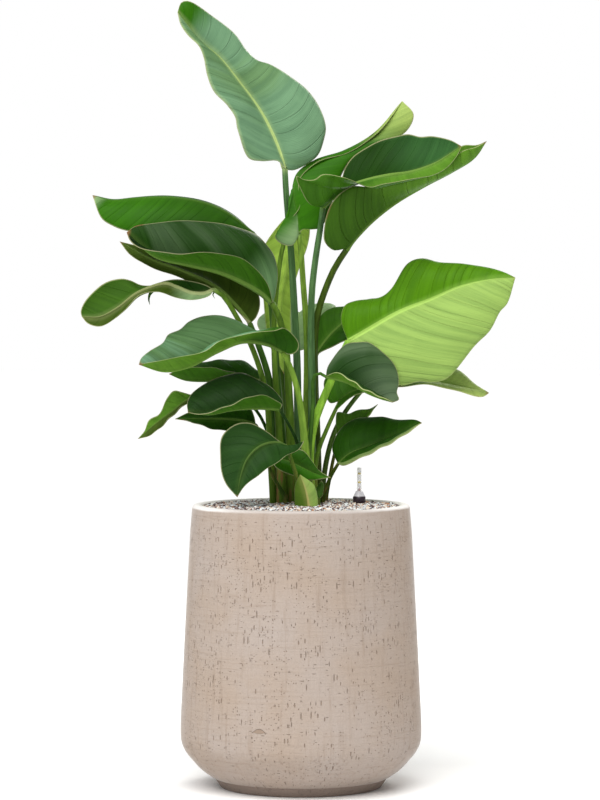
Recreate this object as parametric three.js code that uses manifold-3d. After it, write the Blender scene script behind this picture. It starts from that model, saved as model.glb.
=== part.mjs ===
// Giant bird of paradise (Strelitzia nicolai) growing in a tall planter with a recessed foot.
// Millimetres, +Z up, origin at the centre of the planter's underside, -Y is the plant's front.
// Every leaf is one grown piece: a sheathing stalk that rises from the soil, runs on as the
// midrib and carries a thin blade. The planter holds a plastic liner, the substrate, a gravel
// dressing and a water gauge whose float rises with the water.
import * as THREE from 'three';
import Module from 'manifold-3d';
import { mergeVertices } from 'three/addons/utils/BufferGeometryUtils.js';

const wasm = await Module();
wasm.setup();

// ---------------------------------------------------------------- driving dimensions
const PLANTER_HEIGHT = 528;
const PLANTER_WALL = 18;
const PLANTER_FLOOR = 30;
const FLOOR_CORNER = 14; // height of the slanted corner between the floor and the wall, inside
const FOOT_HEIGHT = 17;
const PLANTER_SIDES = 32;
const GAP = 0.3; // clearance between pieces that touch

const LINER_WALL = 3;
const LINER_FOOT_RADIUS = 150;
const LINER_RIM_RADIUS = 178;
const LINER_TOP = 500;

const GRAVEL_TOP = 524;
const GRAVEL_RELIEF = 1.4; // height of the waves in the dressing
const GRAVEL_FALL = 1.5; // how far the dressing falls towards the wall
const GRAVEL_RINGS = [90, 150]; // radii of the rings between the middle and the wall
const STALK_DEPTH = 90; // how far the stalks stand in the soil
const STALK_HOLE_CLEARANCE = 1.2;
const STALK_HOLE_SIDES = 8;
const CUT_OVERRUN = 10; // how far a cutter reaches past the face it opens

// The leaves are drawn from the front, in perspective, in units of this many mm in the plane of
// the planter's axis. Across counts to the right and down counts downwards.
const DRAWING_UNIT = 1.87;
const AXIS_ACROSS = 301; // the planter's axis in the drawing
const FLOOR_DOWN = 786; // the planter's underside in the drawing
const VIEW_DISTANCE = 6140; // mm from the eye to that plane
const VIEW_HEIGHT = 982; // mm from the planter's underside up to the eye

const BLADE_THICKNESS = 1.0;
const BLADE_CUP = 0.12; // crown of each half blade, as a share of its width
const RIB_TOP_SHARE = 0.3; // how far the midrib stands up from the upper face, as a share of its radius

const GAUGE_X = 110;
const GAUGE_Y = 60;
const GAUGE_SIDES = 14;
const TUBE_RADIUS = 4.4;
const TUBE_WALL = 1.1;
const TUBE_CAP = 1.5; // thickness and bevel of the tube's closed end
const TUBE_TOP = 594;
const CONE_TOP = 549;
const COLLAR_TOP = 539;
const COLLAR_RADIUS = 12;
const SHAFT_RADIUS = 9;
const SHAFT_BORE = 7;
const SEAT_DEPTH = 10; // how deep the tube stands in the cone
const SEAT_WALL = 6; // the rod passes this wall under the tube
const SHAFT_CHAMFER = 3; // the shaft's bore narrows over this height under that wall
const ROD_RADIUS = 1.3;
const ROD_CLEARANCE = 1.4;
const ROD_STICK_OUT = 8; // how far the rod reaches over the tube's seat at rest
const FLOAT_RADIUS = 6;
const FLOAT_HEIGHT = 60;
const TIP_RADIUS = 2.1;
const TIP_HEIGHT = 7;

const COLOURS = {
  concrete: 0xc6b9ab,
  gravel: 0xb9aea2,
  soil: 0x3a2c22,
  black: 0x1d1b1f,
  clear: 0xdfe3e6,
  red: 0xc23a2a,
  white: 0xe8e8e4,
};

// ---------------------------------------------------------------- planter outline
// Radius and height of the outer face, from the foot up to the rim.
const PLANTER_OUTLINE = [
  [152, 0], [162, FOOT_HEIGHT], [170, 21], [188, 34], [203, 50], [216, 66], [223.5, 82],
  [225.5, 100], [221.5, 205], [207.5, 475], [203.5, 523], [201.5, 526.8], [198, PLANTER_HEIGHT],
];
const INNER_LIP = [187.5, PLANTER_HEIGHT];
const INNER_HEIGHTS = [523, 475, 200, 100, 64];

// ---------------------------------------------------------------- leaves
// stalk: the stalk's centre line from the soil, it ends where the rib starts; rib: the midrib from
// base to tip, both as [across, down, depth], with the depth in mm behind the planter's axis;
// left, right: the drawn margins; depth: how far in mm each margin swings behind (+) or before (-)
// the midrib; radius: the stalk's at the soil and at the blade.
const LEAVES = {
  leaf_top: {
    stalk: [[299, 500, 100], [298, 420, 92], [297, 360, 80], [294, 300, 66], [291, 250, 56],
      [288, 215, 48], [286, 190, 44]],
    rib: [[285, 169, 42], [276, 142, 40], [261, 112, 36], [240, 83, 28], [220, 58, 18],
      [200, 41, 8], [188, 26, 0], [178, 13, -6]],
    left: [[278, 161], [262, 161], [249, 158], [238, 130], [236, 117], [228, 106], [215, 93],
      [208, 75], [204, 58], [199, 46], [188, 35], [181, 25]],
    right: [[293, 170], [305, 165], [318, 155], [324, 140], [326, 127], [320, 108], [308, 90],
      [290, 76], [270, 64], [258, 60], [247, 50], [236, 35], [215, 18], [190, 2], [182, 3]],
    depth: [-50, 20],
    radius: [8.5, 5.5],
    colour: 0x6f9a72,
  },
  leaf_back_curl: {
    stalk: [[305, 500, 120], [306, 420, 108], [307, 360, 88], [306, 320, 70], [303, 280, 52],
      [301, 250, 36]],
    rib: [[299, 234, 26], [297, 213, 28], [293, 192, 36], [297, 174, 48], [315, 160, 62],
      [345, 150, 76], [375, 132, 84], [402, 101, 88]],
    left: [[292, 245], [281, 243], [275, 236], [291, 219], [300, 207], [299, 192], [300, 178],
      [316, 163], [346, 153], [376, 134]],
    right: [[303, 229], [312, 229], [321, 227], [328, 214], [342, 174], [352, 159], [370, 147],
      [390, 140], [404, 133], [412, 122], [413, 113]],
    depth: [-25, -12],
    radius: [7.5, 5],
    colour: 0x3f7a10,
  },
  leaf_cupped: {
    stalk: [[312, 500, 72], [312, 430, 64], [312, 380, 52], [311, 330, 40], [312, 290, 30],
      [316, 255, 30], [320, 230, 24]],
    rib: [[323, 207, 8], [338, 195, 0], [354, 185, -6], [372, 179, -10], [390, 175, -12],
      [410, 172, -14], [435, 163, -17], [461, 146, -21]],
    left: [[310, 204], [302, 192], [296, 176], [304, 180], [315, 180], [322, 175], [342, 177],
      [369, 188], [383, 184], [421, 178], [433, 175], [447, 167], [457, 155]],
    right: [[340, 182], [346, 167], [358, 152], [405, 134], [420, 137], [432, 136], [450, 140]],
    depth: [-60, 55],
    radius: [8.5, 5.5],
    colour: 0x22500c,
  },
  leaf_long_right: {
    stalk: [[318, 500, 92], [317, 440, 84], [315, 380, 70], [315, 335, 57], [318, 312, 50],
      [325, 290, 38], [335, 267, 28]],
    rib: [[346, 250, 22], [358, 236, 18], [374, 220, 12], [396, 203, 6], [425, 186, 2],
      [452, 172, 0], [474, 158, 0], [486, 141, 0]],
    left: [[340, 248], [335, 250], [329, 247], [324, 240], [324, 228], [327, 213], [332, 202],
      [341, 192], [353, 186], [369, 187], [421, 177], [433, 173], [447, 165], [457, 154],
      [464, 150], [475, 147]],
    right: [[345, 235], [350, 215], [365, 198], [440, 160], [455, 149], [464, 145], [476, 145]],
    depth: [-35, 60],
    radius: [8.5, 6],
    colour: 0x4a6b22,
  },
  leaf_large_right: {
    stalk: [[310, 500, 45], [309, 470, 40], [310, 445, 34], [314, 423, 28], [322, 401, 20],
      [332, 378, 12], [340, 358, 10]],
    rib: [[348, 341, 12], [370, 328, 10], [400, 311, 6], [430, 299, 2], [460, 286, 0],
      [490, 279, 0], [515, 277, 5]],
    left: [[341, 321], [341, 313], [345, 304], [354, 300], [380, 296], [390, 288], [408, 262],
      [422, 257], [440, 261], [465, 263], [490, 267], [505, 272]],
    right: [[352, 352], [362, 366], [378, 377], [400, 385], [420, 381], [431, 382], [447, 378],
      [475, 345], [490, 330], [500, 311], [507, 303]],
    depth: [35, -20],
    radius: [8, 6],
    colour: 0x7fae28,
  },
  leaf_front_right: {
    stalk: [[307, 500, 28], [310, 440, 18], [313, 400, 4], [313, 380, -10], [317, 372, -18]],
    rib: [[326, 376, -28], [345, 381, -36], [357, 387, -42], [368, 393, -48], [380, 398, -54],
      [393, 402, -60]],
    left: [[327, 368], [331, 360], [346, 343], [358, 341], [370, 342], [390, 358], [397, 369],
      [399, 383], [397, 392], [399, 399]],
    right: [[335, 372], [345, 376], [365, 389]],
    depth: [30, -55],
    radius: [6, 3],
    colour: 0x3c5a40,
  },
  leaf_pointed_right: {
    stalk: [[316, 500, 57], [315, 470, 51], [319, 448, 48], [326, 430, 44], [334, 412, 44]],
    rib: [[340, 400, 46], [352, 391, 50], [375, 387, 58], [405, 384, 64], [435, 382, 66],
      [465, 386, 64], [489, 392, 60]],
    left: [[330, 402], [325, 392], [324, 380], [332, 370], [348, 362], [380, 357], [420, 360],
      [457, 368], [475, 383]],
    right: [[335, 410], [349, 398], [360, 392], [430, 384], [482, 396]],
    depth: [45, -35],
    radius: [6, 3.5],
    small: true,
    colour: 0x35611a,
  },
  leaf_inner_right: {
    stalk: [[309, 500, 135], [310, 450, 128], [312, 400, 116], [313, 375, 106]],
    rib: [[315, 356, 98], [323, 343, 96], [336, 328, 94], [352, 316, 92], [372, 306, 90],
      [392, 300, 88]],
    left: [[313, 345], [314, 330], [318, 318], [325, 309], [333, 306], [345, 305], [360, 300],
      [376, 297]],
    right: [[320, 352], [355, 335], [370, 325], [383, 312]],
    depth: [25, -18],
    radius: [5, 3.5],
    small: true,
    colour: 0x2f6a10,
  },
  leaf_low_right: {
    stalk: [[323, 500, 75], [326, 488, 68], [331, 475, 60]],
    rib: [[338, 463, 52], [350, 453, 48], [370, 445, 42], [395, 435, 36], [422, 422, 30]],
    left: [[332, 449], [333, 441], [343, 424], [353, 418], [380, 415], [395, 418], [416, 419]],
    right: [[343, 465], [355, 460], [400, 437]],
    depth: [45, -40],
    radius: [5, 3.2],
    small: true,
    colour: 0x2c4d1c,
  },
  leaf_small_right: {
    stalk: [[326, 500, 105], [330, 475, 102], [334, 455, 100]],
    rib: [[338, 440, 100], [343, 428, 101], [352, 420, 102], [363, 414, 104], [378, 403, 108]],
    left: [[336, 430], [337, 411], [348, 412], [360, 408], [370, 408]],
    right: [[347, 437], [357, 429]],
    depth: [12, -12],
    radius: [4.5, 3],
    small: true,
    colour: 0x4a5a20,
  },
  leaf_high_left: {
    stalk: [[287, 500, 138], [283, 440, 136], [278, 380, 130], [273, 320, 120], [268, 275, 106],
      [262, 250, 94]],
    rib: [[254, 234, 88], [240, 221, 82], [222, 209, 76], [200, 201, 70], [170, 197, 62],
      [135, 198, 54], [112, 200, 48], [93, 195, 44]],
    left: [[250, 240], [240, 240], [200, 234], [127, 230], [112, 225], [102, 218]],
    right: [[248, 228], [225, 213], [190, 204], [150, 202], [120, 203]],
    depth: [-40, 65],
    radius: [8, 5.5],
    colour: 0x2c560a,
  },
  leaf_dark_left: {
    stalk: [[293, 500, 84], [291, 440, 78], [289, 390, 66], [286, 345, 50], [281, 322, 36]],
    rib: [[273, 303, 20], [262, 293, 12], [245, 283, 0], [220, 272, -12], [190, 265, -20],
      [155, 256, -26], [127, 232, -30]],
    left: [[268, 284], [260, 272], [250, 263], [240, 257], [225, 253], [200, 252], [175, 253],
      [150, 250], [137, 246], [130, 240]],
    right: [[276, 290], [278, 272], [275, 256], [266, 243], [254, 232], [200, 220], [150, 223],
      [135, 226]],
    depth: [-55, 45],
    radius: [8.5, 6],
    colour: 0x2a4a20,
  },
  leaf_narrow_left: {
    stalk: [[277, 500, 86], [275, 450, 80], [273, 400, 72], [267, 370, 58], [258, 343, 42]],
    rib: [[250, 323, 30], [235, 304, 24], [217, 287, 18], [185, 271, 12], [150, 258, 8],
      [120, 241, 4]],
    left: [[256, 317], [260, 305], [258, 292], [248, 283], [220, 268], [180, 255]],
    right: [[222, 297], [209, 289], [145, 264], [130, 254]],
    depth: [40, -14],
    radius: [8, 5],
    colour: 0x31480a,
  },
  leaf_twisted_left: {
    stalk: [[273, 500, 66], [270, 450, 56], [267, 400, 44], [261, 372, 32], [250, 342, 18],
      [236, 315, 4], [223, 295, -6]],
    rib: [[214, 288, -12], [195, 286, -18], [170, 285, -22], [150, 287, -24], [135, 294, -26],
      [118, 307, -26], [100, 316, -24], [82, 316, -22]],
    left: [[205, 284], [182, 279], [165, 281], [150, 285], [140, 285], [130, 280], [122, 278],
      [108, 281], [95, 290], [85, 301], [81, 311]],
    right: [[208, 294], [195, 299], [175, 298], [151, 289], [138, 297], [115, 319], [100, 326],
      [88, 323]],
    depth: [25, -25],
    radius: [7, 4.5],
    colour: 0x4a6a24,
  },
  leaf_broad_left: {
    stalk: [[307, 500, 10], [307, 470, 8], [304, 430, 2], [299, 395, -10], [292, 370, -20]],
    rib: [[283, 351, -28], [265, 343, -32], [243, 341, -38], [218, 351, -44], [190, 366, -50],
      [165, 371, -54], [139, 364, -58]],
    left: [[290, 354], [297, 351], [299, 344], [294, 335], [284, 327], [275, 330], [245, 333],
      [230, 337], [218, 342], [205, 350]],
    right: [[287, 340], [278, 334], [262, 331], [222, 314], [205, 315], [188, 321], [180, 328],
      [168, 334], [163, 342], [150, 350], [141, 358]],
    depth: [-50, 45],
    radius: [8, 5],
    colour: 0x5c8a60,
  },
  leaf_inner_left: {
    stalk: [[283, 500, 115], [280, 450, 108], [276, 420, 100], [270, 397, 86]],
    rib: [[262, 380, 74], [250, 377, 68], [230, 378, 62], [205, 380, 56], [185, 379, 52],
      [169, 373, 48]],
    left: [[240, 373], [210, 366], [195, 366], [180, 368]],
    right: [[262, 374], [255, 367], [245, 360], [230, 358], [200, 361]],
    depth: [-30, 40],
    radius: [5.5, 3.5],
    small: true,
    colour: 0x2c4a18,
  },
  leaf_glossy_left: {
    stalk: [[301, 500, 50], [300, 465, 38], [297, 441, 22], [289, 424, 4]],
    rib: [[280, 409, -8], [268, 408, -14], [250, 408, -20], [230, 410, -26], [210, 414, -32],
      [188, 412, -38]],
    left: [[282, 404], [275, 399], [262, 394], [250, 396], [226, 406], [200, 414]],
    right: [[283, 402], [281, 397], [272, 387], [258, 378], [243, 372], [228, 373], [212, 379],
      [198, 387], [190, 395], [187, 403]],
    depth: [-45, 35],
    radius: [5, 2.8],
    small: true,
    colour: 0x2c4a22,
  },
  leaf_slim_left: {
    stalk: [[280, 500, 132], [276, 460, 124], [267, 430, 114], [255, 408, 102], [235, 396, 90],
      [212, 393, 80]],
    rib: [[198, 396, 74], [188, 399, 70], [172, 411, 62], [158, 421, 54], [138, 438, 44]],
    left: [[182, 391], [174, 390], [167, 397], [163, 408], [158, 414], [149, 420], [144, 431]],
    right: [[190, 401], [181, 407], [156, 431], [147, 436]],
    depth: [25, -20],
    radius: [4.5, 2.8],
    small: true,
    colour: 0x44641e,
  },
  leaf_hidden_left: {
    stalk: [[275, 500, 105], [271, 465, 96], [265, 440, 84]],
    rib: [[256, 424, 70], [245, 420, 64], [225, 418, 56], [200, 418, 48], [175, 418, 40]],
    left: [[254, 414], [250, 407], [235, 404], [215, 405], [195, 409]],
    right: [[248, 427], [220, 430], [187, 420]],
    depth: [28, -22],
    radius: [4.5, 3],
    small: true,
    colour: 0x1e4008,
  },
  leaf_drooping: {
    stalk: [[303, 500, -12], [299, 485, -18], [294, 468, -26], [290, 455, -32]],
    rib: [[290, 449, -36], [280, 443, -44], [268, 443, -54], [257, 448, -64], [247, 459, -72],
      [241, 475, -78], [237, 497, -82]],
    left: [[288, 445], [278, 440], [264, 429], [252, 423], [238, 423], [227, 429], [221, 438],
      [220, 455], [221, 470], [226, 484]],
    right: [[297, 446], [304, 441], [300, 448], [284, 458], [244, 487]],
    depth: [20, -25],
    radius: [6.5, 3.5],
    colour: 0x3e5f3c,
  },
  leaf_low_centre: {
    stalk: [[286, 500, 40], [279, 486, 36], [272, 474, 26], [269, 463, 14]],
    rib: [[274, 457, 2], [288, 460, -3], [303, 467, -7], [318, 474, -5], [331, 477, 0]],
    left: [[285, 450], [296, 448], [304, 450], [320, 470]],
    right: [[275, 466], [297, 477], [306, 480]],
    depth: [2, -6],
    radius: [5, 3],
    small: true,
    colour: 0x265206,
  },
  leaf_centre: {
    stalk: [[282, 500, 64], [279, 430, 58], [275, 370, 54], [274, 320, 56], [277, 285, 60],
      [282, 250, 68], [289, 224, 76]],
    rib: [[297, 207, 88], [296, 218, 106], [289, 255, 130], [282, 300, 138], [280, 340, 142],
      [284, 373, 140]],
    left: [[286, 216], [264, 246], [262, 270], [266, 325], [270, 345]],
    right: [[306, 212], [310, 228], [308, 243], [294, 285], [291, 310], [291, 340], [288, 362]],
    depth: [10, 6],
    radius: [6, 4],
    small: true,
    colour: 0x5c9a18,
  },
  leaf_back_centre: {
    stalk: [[300, 500, 150], [300, 440, 156], [299, 390, 160]],
    rib: [[298, 350, 170], [298, 336, 205], [298, 322, 250], [299, 312, 300], [300, 312, 350],
      [301, 322, 395]],
    left: [[282, 347], [266, 336], [257, 322], [262, 313], [280, 309]],
    right: [[312, 345], [328, 330], [338, 312], [334, 302], [318, 305]],
    depth: [10, 10],
    radius: [5, 4],
    small: true,
    colour: 0x35611a,
  },
  leaf_back_right: {
    stalk: [[322, 500, 125], [326, 462, 124], [334, 432, 124], [345, 411, 124], [357, 395, 124]],
    rib: [[370, 380, 128], [385, 366, 145], [400, 352, 175], [412, 342, 210], [420, 338, 250]],
    left: [[364, 362], [370, 342], [388, 325], [408, 325]],
    right: [[390, 379], [410, 370], [424, 356], [426, 344]],
    depth: [-5, 15],
    radius: [6, 4],
    small: true,
    colour: 0x35611a,
  },
  leaf_back_left: {
    stalk: [[292, 500, 154], [288, 430, 162], [280, 360, 170], [270, 300, 178]],
    rib: [[260, 262, 186], [245, 250, 215], [228, 243, 250], [212, 243, 290], [200, 250, 325]],
    left: [[262, 246], [250, 230], [230, 224], [208, 230]],
    right: [[246, 270], [228, 268], [212, 262]],
    depth: [-15, 25],
    radius: [6.5, 4],
    small: true,
    colour: 0x35611a,
  },
  sheath_pale: {
    stalk: [[306, 505, -33]],
    rib: [[305, 498, -34], [304, 490, -37], [303, 480, -40], [300, 471, -42]],
    left: [[299, 493], [297, 485], [297, 476]],
    right: [[311, 494], [310, 487], [305, 477]],
    depth: [6, 8],
    radius: [4, 3],
    small: true,
    colour: 0xb9b48a,
  },
  sheath_right: {
    stalk: [[319, 503, 8]],
    rib: [[319, 498, 8], [320, 493, 9], [321, 486, 12], [322, 480, 16]],
    left: [[315, 495], [315, 490], [318, 484]],
    right: [[323, 495], [324, 490], [324, 484]],
    depth: [6, 6],
    radius: [3.6, 2.6],
    small: true,
    colour: 0x6c7f3a,
  },
};

// ---------------------------------------------------------------- curves
// Centripetal spline through the points, resampled at the given shares of its length.
function pointsAlong(points, shares) {
  const curve = new THREE.CatmullRomCurve3(points, false, 'centripetal');
  curve.arcLengthDivisions = 40 * points.length;
  return shares.map((share) => curve.getPointAt(share));
}

// A drawn point's place in space: what lies deeper is drawn smaller.
function place([across, down, depth]) {
  const scale = 1 + depth / VIEW_DISTANCE;
  const x = (across - AXIS_ACROSS) * DRAWING_UNIT;
  const z = (FLOOR_DOWN - down) * DRAWING_UNIT;
  return new THREE.Vector3(x * scale, depth, VIEW_HEIGHT + (z - VIEW_HEIGHT) * scale);
}

const bump = (u) => Math.sin(Math.PI * Math.min(Math.max(u, 0), 1)) ** 0.7;

// ---------------------------------------------------------------- leaf surface
// Stations along the blade crowd towards its rounded base and its tip.
const LARGE_STATIONS = [0.04, 0.11, 0.21, 0.33, 0.46, 0.6, 0.73, 0.85, 0.94];
const SMALL_STATIONS = [0.06, 0.16, 0.3, 0.46, 0.62, 0.78, 0.92];
const LARGE_STALK_STEPS = 5;
const SMALL_STALK_STEPS = 4;
const LARGE_COLUMNS = [1, 0.7, 0.36];
const SMALL_COLUMNS = [1, 0.52];
const WIDEST_RIB = 0.25; // the midrib takes at most this share of the half blade's width

// One margin: its outline is drawn, and its depth swings away from the midrib's.
function marginPoints(outline, rib, swing, shares) {
  const drawn = [rib[0], ...outline, rib[rib.length - 1]];
  const line = pointsAlong(drawn.map(([across, down]) => new THREE.Vector3(across, down, 0)), shares);
  const spine = pointsAlong(rib.map(place), shares);
  return line.map((p, i) => place([p.x, p.y, spine[i].y + swing * bump(shares[i])]));
}

// A point on one half of the blade, v = 0 at the midrib and 1 at the margin.
function bladePoint(centre, edge, lift, v) {
  const crown = BLADE_CUP * 4 * v * (1 - v) * centre.distanceTo(edge);
  return centre.clone().lerp(edge, v).addScaledVector(lift, crown);
}

function bladeRows(leaf, stations, columns) {
  const rib = pointsAlong(leaf.rib.map(place), stations);
  const left = marginPoints(leaf.left, leaf.rib, leaf.depth[0], stations);
  const right = marginPoints(leaf.right, leaf.rib, leaf.depth[1], stations);
  const ribCurve = new THREE.CatmullRomCurve3(leaf.rib.map(place), false, 'centripetal');
  return stations.map((u, i) => {
    const along = ribCurve.getTangentAt(u);
    const leftLift = along.clone().cross(left[i].clone().sub(rib[i])).normalize();
    const rightLift = right[i].clone().sub(rib[i]).cross(along).normalize();
    const ribRadius = leaf.radius[1] * (1 - u) ** 0.7;
    const inner = (edge) => Math.min(ribRadius / Math.max(rib[i].distanceTo(edge), 1), WIDEST_RIB);
    const leftShares = [...columns, inner(left[i])];
    const rightShares = [...columns, inner(right[i])].reverse();
    return {
      ribRadius,
      points: [
        ...leftShares.map((v) => bladePoint(rib[i], left[i], leftLift, v)),
        rib[i],
        ...rightShares.map((v) => bladePoint(rib[i], right[i], rightLift, v)),
      ],
    };
  });
}

// Unit normals of the row grid, towards the upper face.
function rowNormals(rows) {
  const last = rows.length - 1;
  return rows.map((row, i) => row.points.map((_, j) => {
    const ends = row.points.length - 1;
    const along = rows[Math.min(i + 1, last)].points[j].clone().sub(rows[Math.max(i - 1, 0)].points[j]);
    const across = row.points[Math.min(j + 1, ends)].clone().sub(row.points[Math.max(j - 1, 0)]);
    return across.cross(along).normalize();
  }));
}

// The buried lower end of a leaf's stalk.
function stalkFoot(leaf) {
  const foot = place(leaf.stalk[0]);
  foot.z -= STALK_DEPTH;
  return foot;
}

// Round sections of the stalk, counted the same way round as the blade's sections.
function stalkRings(leaf, across, columnCount, grow) {
  const path = [stalkFoot(leaf), ...leaf.stalk.map(place), place(leaf.rib[0])];
  const steps = leaf.small ? SMALL_STALK_STEPS : LARGE_STALK_STEPS;
  const shares = Array.from({ length: steps }, (_, i) => (i / steps) ** 0.9);
  shares.push(1);
  const curve = new THREE.CatmullRomCurve3(path, false, 'centripetal');
  curve.arcLengthDivisions = 200;
  const rings = [];
  let side = across.clone();
  for (let i = shares.length - 1; i >= 0; i -= 1) {
    const tangent = curve.getTangentAt(shares[i]);
    side = side.clone().addScaledVector(tangent, -side.dot(tangent)).normalize();
    const up = side.clone().cross(tangent);
    const centre = curve.getPointAt(shares[i]);
    const radius = leaf.radius[0] + (leaf.radius[1] - leaf.radius[0]) * shares[i] + grow;
    const ring = [];
    const count = 2 * columnCount;
    for (let k = 0; k < count; k += 1) {
      const angle = Math.PI * (1 - (2 * (k + 0.5)) / count);
      ring.push(centre.clone()
        .addScaledVector(side, radius * Math.cos(angle))
        .addScaledVector(up, radius * Math.sin(angle)));
    }
    rings.unshift(ring);
  }
  return rings;
}

// Closed mesh through rings of equal size, with a fan at the foot and a point at the tip.
function ringsToGeometry(rings, footPoint, tipPoint) {
  const size = rings[0].length;
  const half = size / 2;
  const positions = [...rings.flat(), footPoint, tipPoint].flatMap((p) => [p.x, p.y, p.z]);
  const index = [];
  const at = (ring, k) => ring * size + (k + size) % size;
  for (let r = 0; r < rings.length - 1; r += 1) {
    for (let k = 0; k < size; k += 1) {
      const [a, b, c, d] = [at(r, k), at(r, k + 1), at(r + 1, k + 1), at(r + 1, k)];
      // the lower face is cut along the same diagonals as the upper one
      if (k < half) index.push(a, b, c, a, c, d);
      else index.push(a, b, d, b, c, d);
    }
  }
  const foot = rings.length * size;
  const tip = foot + 1;
  for (let k = 0; k < size; k += 1) {
    index.push(foot, at(0, k + 1), at(0, k));
    index.push(tip, at(rings.length - 1, k), at(rings.length - 1, k + 1));
  }
  const geometry = new THREE.BufferGeometry();
  geometry.setAttribute('position', new THREE.Float32BufferAttribute(positions, 3));
  geometry.setIndex(index);
  return outward(geometry);
}

// Turns the faces of a closed mesh outwards.
function outward(geometry) {
  const p = geometry.getAttribute('position');
  const index = geometry.getIndex().array;
  const [a, b, c] = [new THREE.Vector3(), new THREE.Vector3(), new THREE.Vector3()];
  let volume = 0;
  for (let i = 0; i < index.length; i += 3) {
    a.fromBufferAttribute(p, index[i]);
    b.fromBufferAttribute(p, index[i + 1]);
    c.fromBufferAttribute(p, index[i + 2]);
    volume += a.dot(b.cross(c));
  }
  if (volume < 0) {
    for (let i = 0; i < index.length; i += 3) {
      [index[i + 1], index[i + 2]] = [index[i + 2], index[i + 1]];
    }
  }
  return geometry;
}

function leafGeometry(leaf) {
  const stations = leaf.small ? SMALL_STATIONS : LARGE_STATIONS;
  const columns = leaf.small ? SMALL_COLUMNS : LARGE_COLUMNS;
  const rows = bladeRows(leaf, stations, columns);
  const normals = rowNormals(rows);
  const middle = columns.length + 1;
  const count = 2 * middle + 1;
  const bladeRings = rows.map((row, i) => {
    const upper = row.points.map((p, j) => {
      const lift = j === middle ? row.ribRadius * RIB_TOP_SHARE : 0;
      return p.clone().addScaledVector(normals[i][j], BLADE_THICKNESS / 2 + lift);
    });
    const lower = row.points.map((p, j) => {
      const drop = j === middle ? row.ribRadius : 0;
      return p.clone().addScaledVector(normals[i][j], -BLADE_THICKNESS / 2 - drop);
    });
    return [...upper, ...lower.reverse()];
  });
  const first = rows[0].points;
  const across = first[first.length - 1].clone().sub(first[0]);
  const stalk = stalkRings(leaf, across, count, 0);
  const tip = place(leaf.rib[leaf.rib.length - 1]);
  return ringsToGeometry([...stalk, ...bladeRings], stalkFoot(leaf), tip);
}

// The buried length of a stalk with its clearance, for cutting its hole.
function stalkCutter(leaf) {
  const rings = stalkRings(leaf, new THREE.Vector3(1, 0, 0), STALK_HOLE_SIDES / 2, STALK_HOLE_CLEARANCE);
  const foot = stalkFoot(leaf);
  const top = place(leaf.rib[0]);
  rings[0].forEach((p) => { p.z -= GAP; });
  foot.z -= GAP;
  return ringsToGeometry(rings, foot, top);
}

// ---------------------------------------------------------------- booleans
function toManifold(geometry) {
  const bare = geometry.clone();
  bare.deleteAttribute('normal');
  bare.deleteAttribute('uv');
  const merged = mergeVertices(bare.index ? bare : mergeVertices(bare), 1e-4);
  return new wasm.Manifold(new wasm.Mesh({
    numProp: 3,
    vertProperties: new Float32Array(merged.getAttribute('position').array),
    triVerts: new Uint32Array(merged.getIndex().array),
  }));
}

function fromManifold(solid) {
  const mesh = solid.getMesh();
  const geometry = new THREE.BufferGeometry();
  geometry.setAttribute('position', new THREE.Float32BufferAttribute(mesh.vertProperties, 3));
  geometry.setIndex(new THREE.Uint32BufferAttribute(mesh.triVerts, 1));
  return geometry;
}

function cutFrom(geometry, cutters) {
  let solid = toManifold(geometry);
  for (const cutter of cutters) solid = solid.subtract(toManifold(cutter));
  return fromManifold(solid);
}

// A body of revolution about +Z from [radius, height] pairs.
function turned(profile, sides) {
  const geometry = new THREE.LatheGeometry(profile.map(([r, h]) => new THREE.Vector2(r, h)), sides);
  geometry.rotateX(Math.PI / 2);
  geometry.deleteAttribute('normal');
  geometry.deleteAttribute('uv');
  return outward(mergeVertices(geometry, 1e-4));
}

// ---------------------------------------------------------------- planter and what fills it
// Outer radius of the planter at a height, straight between the outline's points.
function planterRadius(height) {
  const above = PLANTER_OUTLINE.findIndex(([, z]) => z >= height);
  if (above <= 0) return PLANTER_OUTLINE[0][0];
  const [r0, z0] = PLANTER_OUTLINE[above - 1];
  const [r1, z1] = PLANTER_OUTLINE[above];
  return r0 + ((r1 - r0) * (height - z0)) / (z1 - z0);
}

function planterGeometry() {
  const inner = INNER_HEIGHTS.map((z) => [planterRadius(z) - PLANTER_WALL, z]);
  const floorRadius = planterRadius(PLANTER_FLOOR + FLOOR_CORNER) - PLANTER_WALL;
  const profile = [
    [0, 0], ...PLANTER_OUTLINE, INNER_LIP, ...inner, [floorRadius, PLANTER_FLOOR], [0, PLANTER_FLOOR],
  ];
  return turned(profile, PLANTER_SIDES);
}

function linerGeometry() {
  const base = PLANTER_FLOOR + GAP;
  const profile = [
    [0, base], [LINER_FOOT_RADIUS, base], [LINER_RIM_RADIUS, LINER_TOP],
    [LINER_RIM_RADIUS - LINER_WALL, LINER_TOP], [LINER_FOOT_RADIUS - LINER_WALL, base + LINER_WALL],
    [0, base + LINER_WALL],
  ];
  return turned(profile, PLANTER_SIDES);
}

function gaugeHole(bottom) {
  const radius = SHAFT_RADIUS + GAP;
  const profile = [[0, bottom], [radius, bottom], [radius, COLLAR_TOP], [0, COLLAR_TOP]];
  return turned(profile, GAUGE_SIDES).translate(GAUGE_X, GAUGE_Y, 0);
}

function substrateGeometry(cutters) {
  const bottom = PLANTER_FLOOR + LINER_WALL + 2 * GAP;
  const wallGap = LINER_WALL + GAP;
  const profile = [
    [0, bottom], [LINER_FOOT_RADIUS - wallGap, bottom], [LINER_RIM_RADIUS - wallGap, LINER_TOP],
    [0, LINER_TOP],
  ];
  return cutFrom(turned(profile, PLANTER_SIDES), [...cutters, gaugeHole(bottom - CUT_OVERRUN)]);
}

// Low uneven waves about zero, between -1.5 and 1.5.
function waves(x, y) {
  return Math.sin(x / 13 + 1.3) * Math.cos(y / 11) + 0.5 * Math.sin((x + y) / 7);
}

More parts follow.
